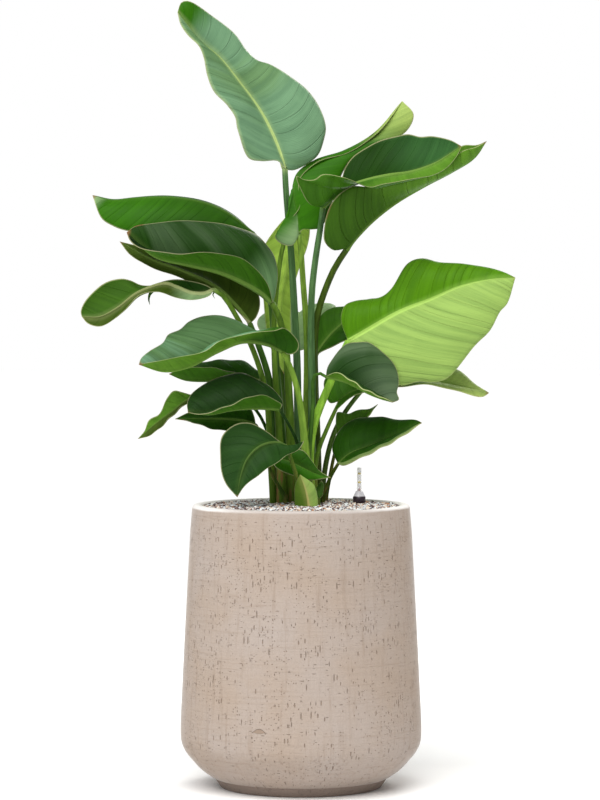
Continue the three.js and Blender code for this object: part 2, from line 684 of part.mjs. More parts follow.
// The gravel's top lies in low waves and falls a little towards the planter's wall.
function gravelGeometry(cutters) {
  const sides = PLANTER_SIDES;
  const bottom = LINER_TOP + GAP;
  const edge = planterRadius(GRAVEL_TOP) - PLANTER_WALL - GAP;
  const positions = [0, 0, GRAVEL_TOP];
  const rows = [...GRAVEL_RINGS, edge];
  rows.forEach((radius, i) => {
    for (let k = 0; k < sides; k += 1) {
      const angle = (2 * Math.PI * (k + (i % 2) / 2)) / sides;
      const x = radius * Math.cos(angle);
      const y = radius * Math.sin(angle);
      const fall = GRAVEL_FALL * (radius / edge) ** 6;
      positions.push(x, y, GRAVEL_TOP - fall + GRAVEL_RELIEF * waves(x, y));
    }
  });
  const outer = rows.length - 1;
  for (let k = 0; k < sides; k += 1) {
    const angle = (2 * Math.PI * (k + (outer % 2) / 2)) / sides;
    positions.push(edge * Math.cos(angle), edge * Math.sin(angle), bottom);
  }
  positions.push(0, 0, bottom);
  const index = [];
  const at = (row, k) => 1 + row * sides + (k % sides);
  for (let k = 0; k < sides; k += 1) index.push(0, at(0, k), at(0, k + 1));
  for (let row = 0; row <= outer; row += 1) {
    for (let k = 0; k < sides; k += 1) {
      const [a, b, c, d] = [at(row, k), at(row + 1, k), at(row + 1, k + 1), at(row, k + 1)];
      index.push(a, b, c, a, c, d);
    }
  }
  const centre = positions.length / 3 - 1;
  for (let k = 0; k < sides; k += 1) index.push(centre, at(outer + 1, k + 1), at(outer + 1, k));
  const geometry = new THREE.BufferGeometry();
  geometry.setAttribute('position', new THREE.Float32BufferAttribute(positions, 3));
  geometry.setIndex(index);
  return cutFrom(outward(geometry), [...cutters, gaugeHole(bottom - CUT_OVERRUN)]);
}

// ---------------------------------------------------------------- water gauge
const SHAFT_BOTTOM = PLANTER_FLOOR + LINER_WALL + 2 * GAP;
const COLLAR_BOTTOM = GRAVEL_TOP + 2 * GRAVEL_RELIEF;
const SEAT = CONE_TOP - SEAT_DEPTH; // the clear tube stands on this shoulder
const FLOAT_BOTTOM = SHAFT_BOTTOM + GAP;
const ROD_TOP = SEAT + ROD_STICK_OUT;

function gaugeHousing() {
  const seatRadius = TUBE_RADIUS + GAP;
  const rodHole = ROD_RADIUS + ROD_CLEARANCE;
  const underSeat = SEAT - SEAT_WALL;
  const profile = [
    [SHAFT_BORE, SHAFT_BOTTOM], [SHAFT_RADIUS, SHAFT_BOTTOM], [SHAFT_RADIUS, COLLAR_BOTTOM],
    [COLLAR_RADIUS, COLLAR_BOTTOM], [COLLAR_RADIUS, COLLAR_TOP], [TUBE_RADIUS + 2, CONE_TOP],
    [seatRadius, CONE_TOP], [seatRadius, SEAT], [rodHole, SEAT], [rodHole, underSeat],
    [SHAFT_BORE, underSeat - SHAFT_CHAMFER], [SHAFT_BORE, SHAFT_BOTTOM],
  ];
  return turned(profile, GAUGE_SIDES);
}

function gaugeTube() {
  const bore = TUBE_RADIUS - TUBE_WALL;
  const low = SEAT + GAP;
  const ceiling = TUBE_TOP - TUBE_CAP;
  const profile = [
    [bore, low], [TUBE_RADIUS, low], [TUBE_RADIUS, ceiling], [TUBE_RADIUS - TUBE_CAP, TUBE_TOP],
    [0, TUBE_TOP], [0, ceiling], [bore, ceiling], [bore, low],
  ];
  return turned(profile, GAUGE_SIDES);
}

function gaugeFloat() {
  const top = FLOAT_BOTTOM + FLOAT_HEIGHT;
  const profile = [
    [0, FLOAT_BOTTOM], [FLOAT_RADIUS, FLOAT_BOTTOM], [FLOAT_RADIUS, top - FLOAT_RADIUS],
    [ROD_RADIUS, top], [ROD_RADIUS, ROD_TOP], [0, ROD_TOP],
  ];
  return turned(profile, GAUGE_SIDES);
}

function gaugeTip() {
  const low = ROD_TOP + GAP;
  const high = low + TIP_HEIGHT;
  const profile = [
    [0, low], [TIP_RADIUS, low], [TIP_RADIUS, high - TIP_RADIUS], [TIP_RADIUS / 2, high], [0, high],
  ];
  return turned(profile, GAUGE_SIDES);
}

// ---------------------------------------------------------------- assembly
const group = new THREE.Group();

function addPiece(name, geometry, colour, roughness, at = [0, 0, 0]) {
  const material = new THREE.MeshStandardMaterial({ color: colour, roughness, metalness: 0 });
  const mesh = new THREE.Mesh(geometry, material);
  mesh.name = name;
  mesh.position.set(...at);
  group.add(mesh);
}

const cutters = Object.values(LEAVES).map(stalkCutter);
addPiece('planter', planterGeometry(), COLOURS.concrete, 0.85);
addPiece('liner', linerGeometry(), COLOURS.black, 0.6);
addPiece('substrate', substrateGeometry(cutters), COLOURS.soil, 0.95);
addPiece('gravel', gravelGeometry(cutters), COLOURS.gravel, 0.9);

const gaugePlace = [GAUGE_X, GAUGE_Y, 0];
addPiece('gauge_housing', gaugeHousing(), COLOURS.black, 0.4, gaugePlace);
addPiece('gauge_tube', gaugeTube(), COLOURS.clear, 0.1, gaugePlace);
addPiece('gauge_float', gaugeFloat(), COLOURS.white, 0.7, gaugePlace);
addPiece('gauge_tip', gaugeTip(), COLOURS.red, 0.5, gaugePlace);

for (const [name, leaf] of Object.entries(LEAVES)) {
  addPiece(name, leafGeometry(leaf), leaf.colour, 0.45);
}

export default group;
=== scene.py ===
"""Giant bird of paradise in a tall planter: finished surfaces over the construction model.

Laid out as an add-on: property groups hold the sizes and colours, one operator makes each
group of pieces, and one panel in the 3D view's sidebar lists them. Sizes are in millimetres
in the tables and in metres in the scene. -Y is the plant's front.
"""
import math

import bpy
import numpy as np
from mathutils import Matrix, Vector


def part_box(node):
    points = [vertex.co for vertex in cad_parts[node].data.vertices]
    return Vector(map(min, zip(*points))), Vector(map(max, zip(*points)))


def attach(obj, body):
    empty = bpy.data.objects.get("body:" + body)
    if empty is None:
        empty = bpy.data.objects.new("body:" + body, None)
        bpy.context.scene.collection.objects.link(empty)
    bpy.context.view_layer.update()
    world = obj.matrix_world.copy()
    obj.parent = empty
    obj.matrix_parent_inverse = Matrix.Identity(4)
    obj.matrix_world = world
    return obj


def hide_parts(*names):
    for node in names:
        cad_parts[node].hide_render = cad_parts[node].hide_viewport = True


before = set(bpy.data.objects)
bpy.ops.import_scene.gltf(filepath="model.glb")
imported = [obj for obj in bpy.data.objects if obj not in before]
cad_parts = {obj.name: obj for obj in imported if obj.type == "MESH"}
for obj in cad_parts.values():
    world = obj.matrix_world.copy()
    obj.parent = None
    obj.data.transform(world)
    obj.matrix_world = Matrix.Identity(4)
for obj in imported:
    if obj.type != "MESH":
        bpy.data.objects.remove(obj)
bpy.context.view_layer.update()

bl_info = {
    "name": "Giant bird of paradise",
    "version": (1, 0, 0),
    "blender": (4, 5, 0),
    "location": "View3D > Sidebar > Plant",
    "description": "Builds a potted giant bird of paradise with its planter, gravel and water gauge",
    "category": "Add Mesh",
}

MM = 0.001

# ---------------------------------------------------------------- form, as in the construction model
PLANTER_WALL = 18
PLANTER_FLOOR = 30
FOOT_HEIGHT = 17
INNER_HEIGHTS = (523, 475, 200, 100, 64)
FLOOR_CORNER = 14
GRAVEL_TOP = 524
GRAVEL_BOTTOM = 500.3
GRAVEL_RELIEF = 1.4
GRAVEL_FALL = 1.5
BED_DROP = 1.5  # the bed's face lies this far under the stones' middles
WALL_GAP = 0.3
FOOT_EDGE = [(150.5, 0), (152, 1.5)]
FOOT_ROUNDING = 1.0
RIM_ROUNDING = 2.0
SIDE_STEPS = 60
CORNER_STEPS = 4
BED_RINGS = 60
BED_SIDES = 160

STALK_DEPTH = 90
STALK_STEPS = 26
FLARE_REACH = 120  # the widening of a stalk's foot fades over this height
CHANNEL_DEPTH = 0.32  # the groove on a stalk's upper side, as a share of its radius
CHANNEL_WIDTH = 0.5  # in radians
BLADE_CUP = 0.12
THIN_MARGIN = 1.2  # the blade thins over this distance from its margin, to THIN_SHARE
THIN_SHARE = 0.45
PHASE_STEP = 1.7  # from leaf to leaf, so that no two have the same waves and veins
RIB_TOP_SHARE = 0.3
RIB_BASE_REACH = 0.03
RIB_SHARES = (0.8, 0.5, 0.25)  # columns over the midrib, as shares of its half width
MARGIN_CURL = 1.2
MARGIN_CURL_REACH = 4
STRIP_STEPS = 12
STRIP_SIDES = 8
STRIP_HALF_THICKNESS = 0.6

# Radius and height of the planter's outer face, from the foot up to the rim.
PLANTER_OUTLINE = [
    (152, 0), (162, FOOT_HEIGHT), (170, 21), (188, 34), (203, 50), (216, 66), (223.5, 82),
    (225.5, 100), (221.5, 205), (207.5, 475), (203.5, 523), (201.5, 526.8), (198, 528),
]
INNER_LIP = (187.5, 528)

# Radii of the water gauge's parts, and the heights that its own boxes don't give.
TUBE_RADIUS = 4.4
TUBE_WALL = 1.1
COLLAR_RADIUS = 12
CONE_HEIGHT = 10
SEAT_GAP = 0.3
ROD_GAP = 1.4
SHAFT_RADIUS = 9
SHAFT_BORE = 7
FLOAT_RADIUS = 6
FLOAT_HEIGHT = 60
ROD_RADIUS = 1.3
TIP_RADIUS = 2.1
LEVEL_MARKS = (582.5, 566)
MARK_HALF_ANGLE = math.radians(34)
MARK_STEPS = 8
MARK_SECTION = [(0.02, -1.5), (0.22, -1.5), (0.22, 1.5), (0.02, 1.5)]  # over the tube's radius, up
GAUGE_SIDES = 32
STEM_SIDES = 48

# Heights in metres between which the planter's finishes change.
# The foot is darkened with painted shade under the body's overhang.
FOOT_SHADE_SPAN = (0.0185, 0.0165)
# Painted light bounced from the floor, on the lower turn towards the foot.
FLOOR_BOUNCE_SPAN = (0.075, 0.03)
RIM_SPAN = (0.5215, 0.5255)
SMOOTH_TOP_SPAN = (0.516, 0.506)
FRONT_SPAN = (-0.11, -0.19)  # along Y, for the rim

# The dent low on the planter's front, drawn as a crescent of painted shade, in metres.
DENT_ACROSS = -0.076
DENT_UP = 0.127
DENT_HALF_WIDTH = 0.014
DENT_ARCH = 0.0032
DENT_TOP = 0.0022
DENT_THICKNESS = 0.0042
DENT_SOFTNESS = 0.0006

# Pits and scratches of the cast body, darkened as painted shade in their hollows: cells per metre
# across and up, width and share of the cells that hold a mark, and the seed.
CAST_MARKS = (
    (170, 44, 0.13, 0.20, 3), (120, 17, 0.08, 0.15, 11), (44, 230, 0.09, 0.12, 23),
    (230, 210, 0.17, 0.14, 31),
)
PLANTER_MEAN_RADIUS = 0.215

# Share of the stones from which each colour counts, and the colour as sRGB.
STONE_COLOURS = [
    (0.0, (238, 243, 244)), (0.26, (204, 206, 208)), (0.38, (238, 220, 202)),
    (0.56, (152, 130, 124)), (0.71, (84, 66, 66)), (0.94, (190, 138, 102)),
]

# Soft lamps: name, place, size and power, in metres and watts, and colour. Then the places of the
# sun, of what the lamps are turned to, of the camera and of the floor under the foot.
SOFT_LAMPS = (
    ("left box", (-2.6, -1.0, 2.4), 1.6, 20, (0.93, 0.98, 1)),
    ("back box", (1.4, 2.6, 2.6), 2.0, 50, (1, 1, 0.96)),
)
SUN_PLACE = (-0.4, -2.0, 3.6)
LAMP_AIM = (0, 0, 0.8)
CAMERA_ACROSS = -0.00187
FLOOR_GAP = 0.0005

# Spans in metres over which marks on a leaf fade: from the margin for the thin pale edge and the
# dry spots, from the midrib for its glow, and down the stalk for the brown of age.
EDGE_SPAN = (0.0008, 0.0024)
SPOT_SPAN = (0.004, 0.0005)
RIB_GLOW_SPAN = (0.002, 0.012)
AGED_SPAN = (0.66, 0.54)
VEIN_RELIEF = 0.0016
HALF_SPAN = (-0.002, 0.002)

# Leaf colours, as sRGB. Blades take four: the upper face left and right of the midrib, then
# the underside left and right.
INK = (14, 38, 6)
DEEP = (28, 60, 12)
FOREST = (42, 84, 16)
LEAF = (60, 106, 24)
MOSS = (48, 102, 10)
FRESH = (86, 130, 38)
LIME = (144, 176, 92)
GRASS = (76, 126, 14)
STRAW = (160, 184, 100)
OLIVE = (62, 82, 24)
FERN = (54, 90, 20)
DUSK = (34, 64, 24)
# Painted sheen: the teal band inside the cupped leaf.
PAINTED_SHEEN_PINE = (50, 92, 46)
# Painted backlight: the glow of a leaf lit from behind.
PAINTED_BACKLIGHT = (178, 214, 92)
# Painted sheen colour of glossy dark leaves.
PAINTED_SHEEN_SLATE = (88, 108, 82)
SAGE = (78, 112, 70)
JADE = (103, 139, 95)
MIST = (128, 158, 112)
# Painted sheen colour of bluish gloss patches.
PAINTED_SHEEN_HAZE = (120, 162, 138)
STALK_DARK = (62, 98, 36)
STALK = (90, 122, 42)
STALK_PALE = (116, 150, 58)
STALK_LIME = (138, 186, 66)

# The leaves are drawn from the front, in perspective, in units of this many mm in the plane of
# the planter's axis. Across counts to the right and down counts downwards.
DRAWING_UNIT = 1.87
AXIS_ACROSS = 301
FLOOR_DOWN = 786
VIEW_DISTANCE = 6140
VIEW_HEIGHT = 982

# Strips that hang from a torn blade: the centre line as drawn, and half the width in mm.
TORN_STRIPS = {
    "torn_strip_long": ([(154, 289, -23), (150, 294, -23), (149, 299, -23), (150, 304, -23)], 3.6),
    "torn_strip_short": ([(213, 288, -12), (214, 292, -12), (213, 294, -12), (215, 298, -12)], 2.0),
}

# stalk: the stalk's centre line from the soil, it ends where the rib starts; rib: the midrib from
# base to tip, both as [across, down, depth], with the depth in mm behind the planter's axis;
# left, right: the drawn margins; depth: how far each margin swings behind (+) or before (-) the
# midrib; radius: the stalk's at the soil and at the blade.
LEAVES = {
    "leaf_top": {
        "stalk": [[299, 500, 100], [298, 420, 92], [297, 360, 80], [294, 300, 66], [291, 250, 56],
          [288, 215, 48], [286, 190, 44]],
        "rib": [[285, 169, 42], [276, 142, 40], [261, 112, 36], [240, 83, 28], [220, 58, 18],
          [200, 41, 8], [188, 26, 0], [178, 13, -6]],
        "left": [[278, 161], [262, 161], [249, 158], [238, 130], [236, 117], [228, 106], [215, 93],
          [208, 75], [204, 58], [199, 46], [188, 35], [181, 25]],
        "right": [[293, 170], [305, 165], [318, 155], [324, 140], [326, 127], [320, 108], [308, 90],
          [290, 76], [270, 64], [258, 60], [247, 50], [236, 35], [215, 18], [190, 2], [182, 3]],
        "depth": [-50, 20],
        "radius": [8.5, 5.5],
        "tints": (JADE, JADE, MIST, MIST),
        "stalk_tint": SAGE,
        # Painted sheen: bluish gloss patches on the upper face.
        "painted_sheen": 0.45,
        "painted_sheen_tint": PAINTED_SHEEN_HAZE,
        "rib_tint": (196, 218, 140),
        "rib_strength": 0.95,
        "slants": (1.0, 0.15),
        "zones": [(0.86, 0.94, 1, MOSS)],
        "rolls": [(6, 0.2), (0, 0)],
        "roll_tint": (190, 208, 150),
        "relief": 0.7,
        "pleat": 0.14,
    },
    "leaf_back_curl": {
        "stalk": [[305, 500, 120], [306, 420, 108], [307, 360, 88], [306, 320, 70], [303, 280, 52],
          [301, 250, 36]],
        "rib": [[299, 234, 26], [297, 213, 28], [293, 192, 36], [297, 174, 48], [315, 160, 62],
          [345, 150, 76], [375, 132, 84], [402, 101, 88]],
        "left": [[292, 245], [281, 243], [275, 236], [291, 219], [300, 207], [299, 192], [300, 178],
          [316, 163], [346, 153], [376, 134]],
        "right": [[303, 229], [312, 229], [321, 227], [328, 214], [342, 174], [352, 159], [370, 147],
          [390, 140], [404, 133], [412, 122], [413, 113]],
        "depth": [-25, -12],
        "radius": [7.5, 5],
        "tints": (MOSS, MOSS, MOSS, MOSS),
        "stalk_tint": STALK_PALE,
        "zones": [(0.66, 0.95, 0, STRAW), (0.16, 0.06, -1, MIST)],
        "slants": (0.8, 0.8),
        "rib_strength": 0.05,
        "relief": 0.2,
    },
    "leaf_cupped": {
        "stalk": [[312, 500, 72], [312, 430, 64], [312, 380, 52], [311, 330, 40], [312, 290, 30],
          [316, 255, 30], [320, 230, 24]],
        "rib": [[323, 207, 8], [338, 195, 0], [354, 185, -6], [372, 179, -10], [390, 175, -12],
          [410, 172, -14], [435, 163, -17], [461, 146, -21]],
        "left": [[310, 204], [302, 192], [296, 176], [304, 180], [315, 180], [322, 175], [342, 177],
          [369, 188], [383, 184], [421, 178], [433, 175], [447, 167], [457, 155]],
        "right": [[340, 182], [346, 167], [358, 152], [405, 134], [420, 137], [432, 136], [450, 140]],
        "depth": [-60, 55],
        "radius": [8.5, 5.5],
        "tints": (LEAF, DEEP, FRESH, DEEP),
        "stalk_tint": SAGE,
        "gloss": 0.3,
        # The second zone and the sheen paint a teal sheen band on the cup's inner face.
        "zones": [(0.55, 0.42, -1, LEAF), (0.45, 0.85, 1, PAINTED_SHEEN_PINE)],
        "rib_strength": 0.6,
        "painted_sheen": 0.4,
        "painted_sheen_tint": SAGE,
        "pleat": -0.3,
    },
    "leaf_long_right": {
        "stalk": [[318, 500, 92], [317, 440, 84], [315, 380, 70], [315, 335, 57], [318, 312, 50],
          [325, 290, 38], [335, 267, 28]],
        "rib": [[346, 250, 22], [358, 236, 18], [374, 220, 12], [396, 203, 6], [425, 186, 2],
          [452, 172, 0], [474, 158, 0], [486, 141, 0]],
        "left": [[340, 248], [335, 250], [329, 247], [324, 240], [324, 228], [327, 213], [332, 202],
          [341, 192], [353, 186], [369, 187], [421, 177], [433, 173], [447, 165], [457, 154],
          [464, 150], [475, 147]],
        "right": [[345, 235], [350, 215], [365, 198], [440, 160], [455, 149], [464, 145], [476, 145]],
        "depth": [-35, 60],
        "radius": [8.5, 6],
        "tints": (FERN, FERN, MIST, MIST),
        "stalk_tint": OLIVE,
        "slants": (0.7, 0.7),
        "rib_strength": 0.3,
        "painted_sheen": 0.0,
        "zones": [(0.3, 0.75, 0, FRESH)],
        "relief": 1.0,
        "pleat": -0.4,
    },
    "leaf_large_right": {
        "stalk": [[310, 500, 45], [309, 470, 40], [310, 445, 34], [314, 423, 28], [322, 401, 20],
          [332, 378, 12], [340, 358, 10]],
        "rib": [[348, 341, 12], [370, 328, 10], [400, 311, 6], [430, 299, 2], [460, 286, 0],
          [490, 279, 0], [515, 277, 5]],
        "left": [[341, 321], [341, 313], [345, 304], [354, 300], [380, 296], [390, 288], [408, 262],
          [422, 257], [440, 261], [465, 263], [490, 267], [505, 272]],
        "right": [[352, 352], [362, 366], [378, 377], [400, 385], [420, 381], [431, 382], [447, 378],
          [475, 345], [490, 330], [500, 311], [507, 303]],
        "depth": [35, -20],
        "radius": [8, 6],
        # The pale second tint is painted backlight: that half glows as if lit from behind.
        "tints": (GRASS, LIME, FRESH, FRESH),
        "stalk_tint": STALK_LIME,
        "painted_sheen": 0.0,
        "slants": (0.75, 0.95),
        "rib_tint": (176, 214, 104),
        "rib_strength": 0.7,
        "edge": 0.25,
        "relief": 0.8,
        "pleat": -0.35,
        "flare": 0.6,
    },
    "leaf_front_right": {
        "stalk": [[307, 500, 28], [310, 440, 18], [313, 400, 4], [313, 380, -10], [317, 372, -18]],
        "rib": [[326, 376, -28], [345, 381, -36], [357, 387, -42], [368, 393, -48], [380, 398, -54],
          [393, 402, -60]],
        "left": [[327, 368], [331, 360], [346, 343], [358, 341], [370, 342], [390, 358], [397, 369],
          [399, 383], [397, 392], [399, 399]],
        "right": [[335, 372], [345, 376], [365, 389]],
        "depth": [30, -55],
        "radius": [6, 3],
        "tints": (DUSK, DUSK, FRESH, FRESH),
        "stalk_tint": STALK_DARK,
        "gloss": 0.34,
        "rolls": [(0, 0), (3, 0.8)],
        # Painted sheen: slate gloss patches, and the zone paints more of it on the left half.
        "painted_sheen": 0.65,
        "painted_sheen_tint": PAINTED_SHEEN_SLATE,
        "rib_strength": 0.3,
        "zones": [(0.25, 1.1, -1, PAINTED_SHEEN_SLATE)],
    },
    "leaf_pointed_right": {
        "stalk": [[316, 500, 57], [315, 470, 51], [319, 448, 48], [326, 430, 44], [334, 412, 44]],
        "rib": [[340, 400, 46], [352, 391, 50], [375, 387, 58], [405, 384, 64], [435, 382, 66],
          [465, 386, 64], [489, 392, 60]],
        "left": [[330, 402], [325, 392], [324, 380], [332, 370], [348, 362], [380, 357], [420, 360],
          [457, 368], [475, 383]],
        "right": [[335, 410], [349, 398], [360, 392], [430, 384], [482, 396]],
        "depth": [45, -35],
        "radius": [6, 3.5],
        "tints": (LEAF, LEAF, SAGE, MIST),
        "stalk_tint": STALK,
        "rib_strength": 0.3,
        "zones": [(0.5, 0.72, 0, STRAW)],
    },
    "leaf_inner_right": {
        "stalk": [[309, 500, 135], [310, 450, 128], [312, 400, 116], [313, 375, 106]],
        "rib": [[315, 356, 98], [323, 343, 96], [336, 328, 94], [352, 316, 92], [372, 306, 90],
          [392, 300, 88]],
        "left": [[313, 345], [314, 330], [318, 318], [325, 309], [333, 306], [345, 305], [360, 300],
          [376, 297]],
        "right": [[320, 352], [355, 335], [370, 325], [383, 312]],
        "depth": [25, -18],
        "radius": [5, 3.5],
        "tints": (LEAF, FOREST, LEAF, FOREST),
        "stalk_tint": STALK_DARK,
        "rib_strength": 0.4,
        "painted_sheen": 0.0,
    },
    "leaf_low_right": {
        "stalk": [[323, 500, 75], [326, 488, 68], [331, 475, 60]],
        "rib": [[338, 463, 52], [350, 453, 48], [370, 445, 42], [395, 435, 36], [422, 422, 30]],
        "left": [[332, 449], [333, 441], [343, 424], [353, 418], [380, 415], [395, 418], [416, 419]],
        "right": [[343, 465], [355, 460], [400, 437]],
        "depth": [45, -40],
        "radius": [5, 3.2],
        "tints": (FOREST, FOREST, MIST, MIST),
        "stalk_tint": OLIVE,
        "rolls": [(0, 0), (9, 0.7)],
        "rib_strength": 0.3,
        "painted_sheen": 0.0,
        "pleat": -0.3,
    },
    "leaf_small_right": {
        "stalk": [[326, 500, 105], [330, 475, 102], [334, 455, 100]],
        "rib": [[338, 440, 100], [343, 428, 101], [352, 420, 102], [363, 414, 104], [378, 403, 108]],
        "left": [[336, 430], [337, 411], [348, 412], [360, 408], [370, 408]],
        "right": [[347, 437], [357, 429]],
        "depth": [12, -12],
        "radius": [4.5, 3],
        "tints": (FRESH, FRESH, FRESH, FRESH),
        "stalk_tint": OLIVE,
        "rib_strength": 0.3,
    },
    "leaf_high_left": {
        "stalk": [[287, 500, 138], [283, 440, 136], [278, 380, 130], [273, 320, 120], [268, 275, 106],
          [262, 250, 94]],
        "rib": [[254, 234, 88], [240, 221, 82], [222, 209, 76], [200, 201, 70], [170, 197, 62],
          [135, 198, 54], [112, 200, 48], [93, 195, 44]],
        "left": [[250, 240], [240, 240], [200, 234], [127, 230], [112, 225], [102, 218]],
        "right": [[248, 228], [225, 213], [190, 204], [150, 202], [120, 203]],
        "depth": [-40, 65],
        "radius": [8, 5.5],
        "tints": (MOSS, MOSS, FRESH, FRESH),
        "stalk_tint": STALK_DARK,
        # The first zone, pale at the tip's left side, is painted sheen.
        "zones": [(0.9, 1.0, -1, MIST), (0.8, 0.3, 0, FOREST)],
        "rib_strength": 0.12,
        "painted_sheen": 0.0,
        "slants": (0.3, 0.3),
    },
    "leaf_dark_left": {
        "stalk": [[293, 500, 84], [291, 440, 78], [289, 390, 66], [286, 345, 50], [281, 322, 36]],
        "rib": [[273, 303, 20], [262, 293, 12], [245, 283, 0], [220, 272, -12], [190, 265, -20],
          [155, 256, -26], [127, 232, -30]],
        "left": [[268, 284], [260, 272], [250, 263], [240, 257], [225, 253], [200, 252], [175, 253],
          [150, 250], [137, 246], [130, 240]],
        "right": [[276, 290], [278, 272], [275, 256], [266, 243], [254, 232], [200, 220], [150, 223],
          [135, 226]],
        "depth": [-55, 45],
        "radius": [8.5, 6],
        "tints": (INK, DEEP, LEAF, LEAF),
        "stalk_tint": STALK,
        # Painted sheen: slate gloss patches, and the zone paints a bluish sheen near the base.
        "painted_sheen": 0.3,
        "painted_sheen_tint": PAINTED_SHEEN_SLATE,
        "zones": [(0.34, 0.12, 1, JADE)],
        "rib_strength": 0.45,
        "slants": (1.0, 1.0),
        "gloss": 0.3,
        "aged": 0.7,
        "flare": 1.0,
    },
    "leaf_narrow_left": {
        "stalk": [[277, 500, 86], [275, 450, 80], [273, 400, 72], [267, 370, 58], [258, 343, 42]],
        "rib": [[250, 323, 30], [235, 304, 24], [217, 287, 18], [185, 271, 12], [150, 258, 8],
          [120, 241, 4]],
        "left": [[256, 317], [260, 305], [258, 292], [248, 283], [220, 268], [180, 255]],
        "right": [[222, 297], [209, 289], [145, 264], [130, 254]],
        "depth": [40, -14],
        "radius": [8, 5],
        "tints": (OLIVE, OLIVE, OLIVE, OLIVE),
        "stalk_tint": STALK_DARK,
        "rib_strength": 0.35,
        "flare": 0.7,
    },
    "leaf_twisted_left": {
        "stalk": [[273, 500, 66], [270, 450, 56], [267, 400, 44], [261, 372, 32], [250, 342, 18],
          [236, 315, 4], [223, 295, -6]],
        "rib": [[214, 289, -12], [204, 293, -15], [190, 292, -18], [178, 287, -20], [166, 283, -22],
          [150, 287, -24], [135, 294, -26],
          [118, 307, -26], [100, 316, -24], [82, 316, -22]],
        "left": [[205, 284], [182, 279], [165, 281], [150, 285], [140, 285], [130, 280], [122, 278],
          [108, 281], [95, 290], [85, 301], [81, 311]],
        "right": [[210, 295], [198, 299], [176, 298], [157, 291], [138, 297], [115, 319], [100, 326],
          [88, 323]],
        "depth": [25, -25],
        "radius": [7, 4.5],
        "tints": (FERN, FERN, FERN, OLIVE),
        "stalk_tint": STALK,
        "rib_strength": 0.45,
        "zones": [(0.35, 0.2, 1, MIST), (0.35, 0.2, -1, DEEP)],
        "rib_tint": (196, 200, 140),
    },
    "leaf_broad_left": {
        "stalk": [[307, 500, 10], [307, 470, 8], [304, 430, 2], [299, 395, -10], [292, 370, -20]],
        "rib": [[283, 351, -28], [265, 343, -32], [243, 341, -38], [218, 351, -44], [190, 366, -50],
          [165, 371, -54], [139, 364, -58]],
        "left": [[290, 354], [297, 351], [299, 344], [294, 335], [284, 327], [275, 330], [245, 333],
          [230, 337], [218, 342], [205, 350]],
        "right": [[287, 340], [278, 334], [262, 331], [222, 314], [205, 315], [188, 321], [180, 328],
          [168, 334], [163, 342], [150, 350], [141, 358]],
        "depth": [-50, 45],
        "radius": [8, 5],
        "tints": (LEAF, SAGE, FRESH, FRESH),
        "stalk_tint": STALK_PALE,
        # Painted sheen: teal gloss patches on the upper face.
        "painted_sheen": 0.55,
        "painted_sheen_tint": PAINTED_SHEEN_HAZE,
        "slants": (0.9, 0.9),
        "rib_strength": 0.4,
        "zones": [(0.34, 0.2, 0, FOREST)],
        "flare": 0.8,
    },
    "leaf_inner_left": {
        "stalk": [[283, 500, 115], [280, 450, 108], [276, 420, 100], [270, 397, 86]],
        "rib": [[262, 380, 74], [250, 377, 68], [230, 378, 62], [205, 380, 56], [185, 379, 52],
          [169, 373, 48]],
        "left": [[240, 373], [210, 366], [195, 366], [180, 368]],
        "right": [[262, 374], [255, 367], [245, 360], [230, 358], [200, 361]],
        "depth": [-30, 40],
        "radius": [5.5, 3.5],
        "tints": (FOREST, FOREST, LEAF, LEAF),
        "rib_strength": 0.3,
        "stalk_tint": FOREST,
    },
    "leaf_glossy_left": {
        "stalk": [[301, 500, 50], [300, 465, 38], [297, 441, 22], [289, 424, 4]],
        "rib": [[280, 409, -8], [268, 408, -14], [250, 408, -20], [230, 410, -26], [210, 414, -32],
          [188, 412, -38]],
        "left": [[282, 404], [275, 399], [262, 394], [250, 396], [226, 406], [200, 414]],
        "right": [[283, 402], [281, 397], [272, 387], [258, 378], [243, 372], [228, 373], [212, 379],
          [198, 387], [190, 395], [187, 403]],
        "depth": [-45, 35],
        "radius": [5, 2.8],
        "tints": (DUSK, DUSK, LEAF, LEAF),
        "gloss": 0.3,
        "rib_strength": 0.3,
        # Painted sheen, faint.
        "painted_sheen": 0.05,
        "painted_sheen_tint": SAGE,
        "stalk_tint": DUSK,
    },
    "leaf_slim_left": {
        "stalk": [[280, 500, 132], [276, 460, 124], [267, 430, 114], [255, 408, 102], [235, 396, 90],
          [212, 393, 80]],
        "rib": [[198, 396, 74], [188, 399, 70], [172, 411, 62], [158, 421, 54], [138, 438, 44]],
        "left": [[182, 391], [174, 390], [167, 397], [163, 408], [158, 414], [149, 420], [144, 431]],
        "right": [[190, 401], [181, 407], [156, 431], [147, 436]],
        "depth": [25, -20],
        "radius": [4.5, 2.8],
        "tints": (MOSS, OLIVE, FRESH, OLIVE),
        "rib_strength": 0.3,
        "stalk_tint": FOREST,
    },
    "leaf_hidden_left": {
        "stalk": [[275, 500, 105], [271, 465, 96], [265, 440, 84]],
        "rib": [[256, 424, 70], [245, 420, 64], [225, 418, 56], [200, 418, 48], [175, 418, 40]],
        "left": [[254, 414], [250, 407], [235, 404], [215, 405], [195, 409]],
        "right": [[248, 427], [220, 430], [187, 420]],
        "depth": [28, -22],
        "radius": [4.5, 3],
        "tints": (DEEP, DEEP, FOREST, FOREST),
        "rib_strength": 0.3,
        "painted_sheen": 0.0,
        "stalk_tint": FOREST,
    },
    "leaf_drooping": {
        "stalk": [[303, 500, -12], [299, 485, -18], [294, 468, -26], [290, 455, -32]],
        "rib": [[290, 449, -36], [280, 443, -44], [268, 443, -54], [257, 448, -64], [247, 459, -72],
          [241, 475, -78], [237, 497, -82]],
        "left": [[288, 445], [278, 440], [264, 429], [252, 423], [238, 423], [227, 429], [221, 438],
          [220, 455], [221, 470], [226, 484]],
        "right": [[297, 446], [304, 441], [300, 448], [284, 458], [244, 487]],
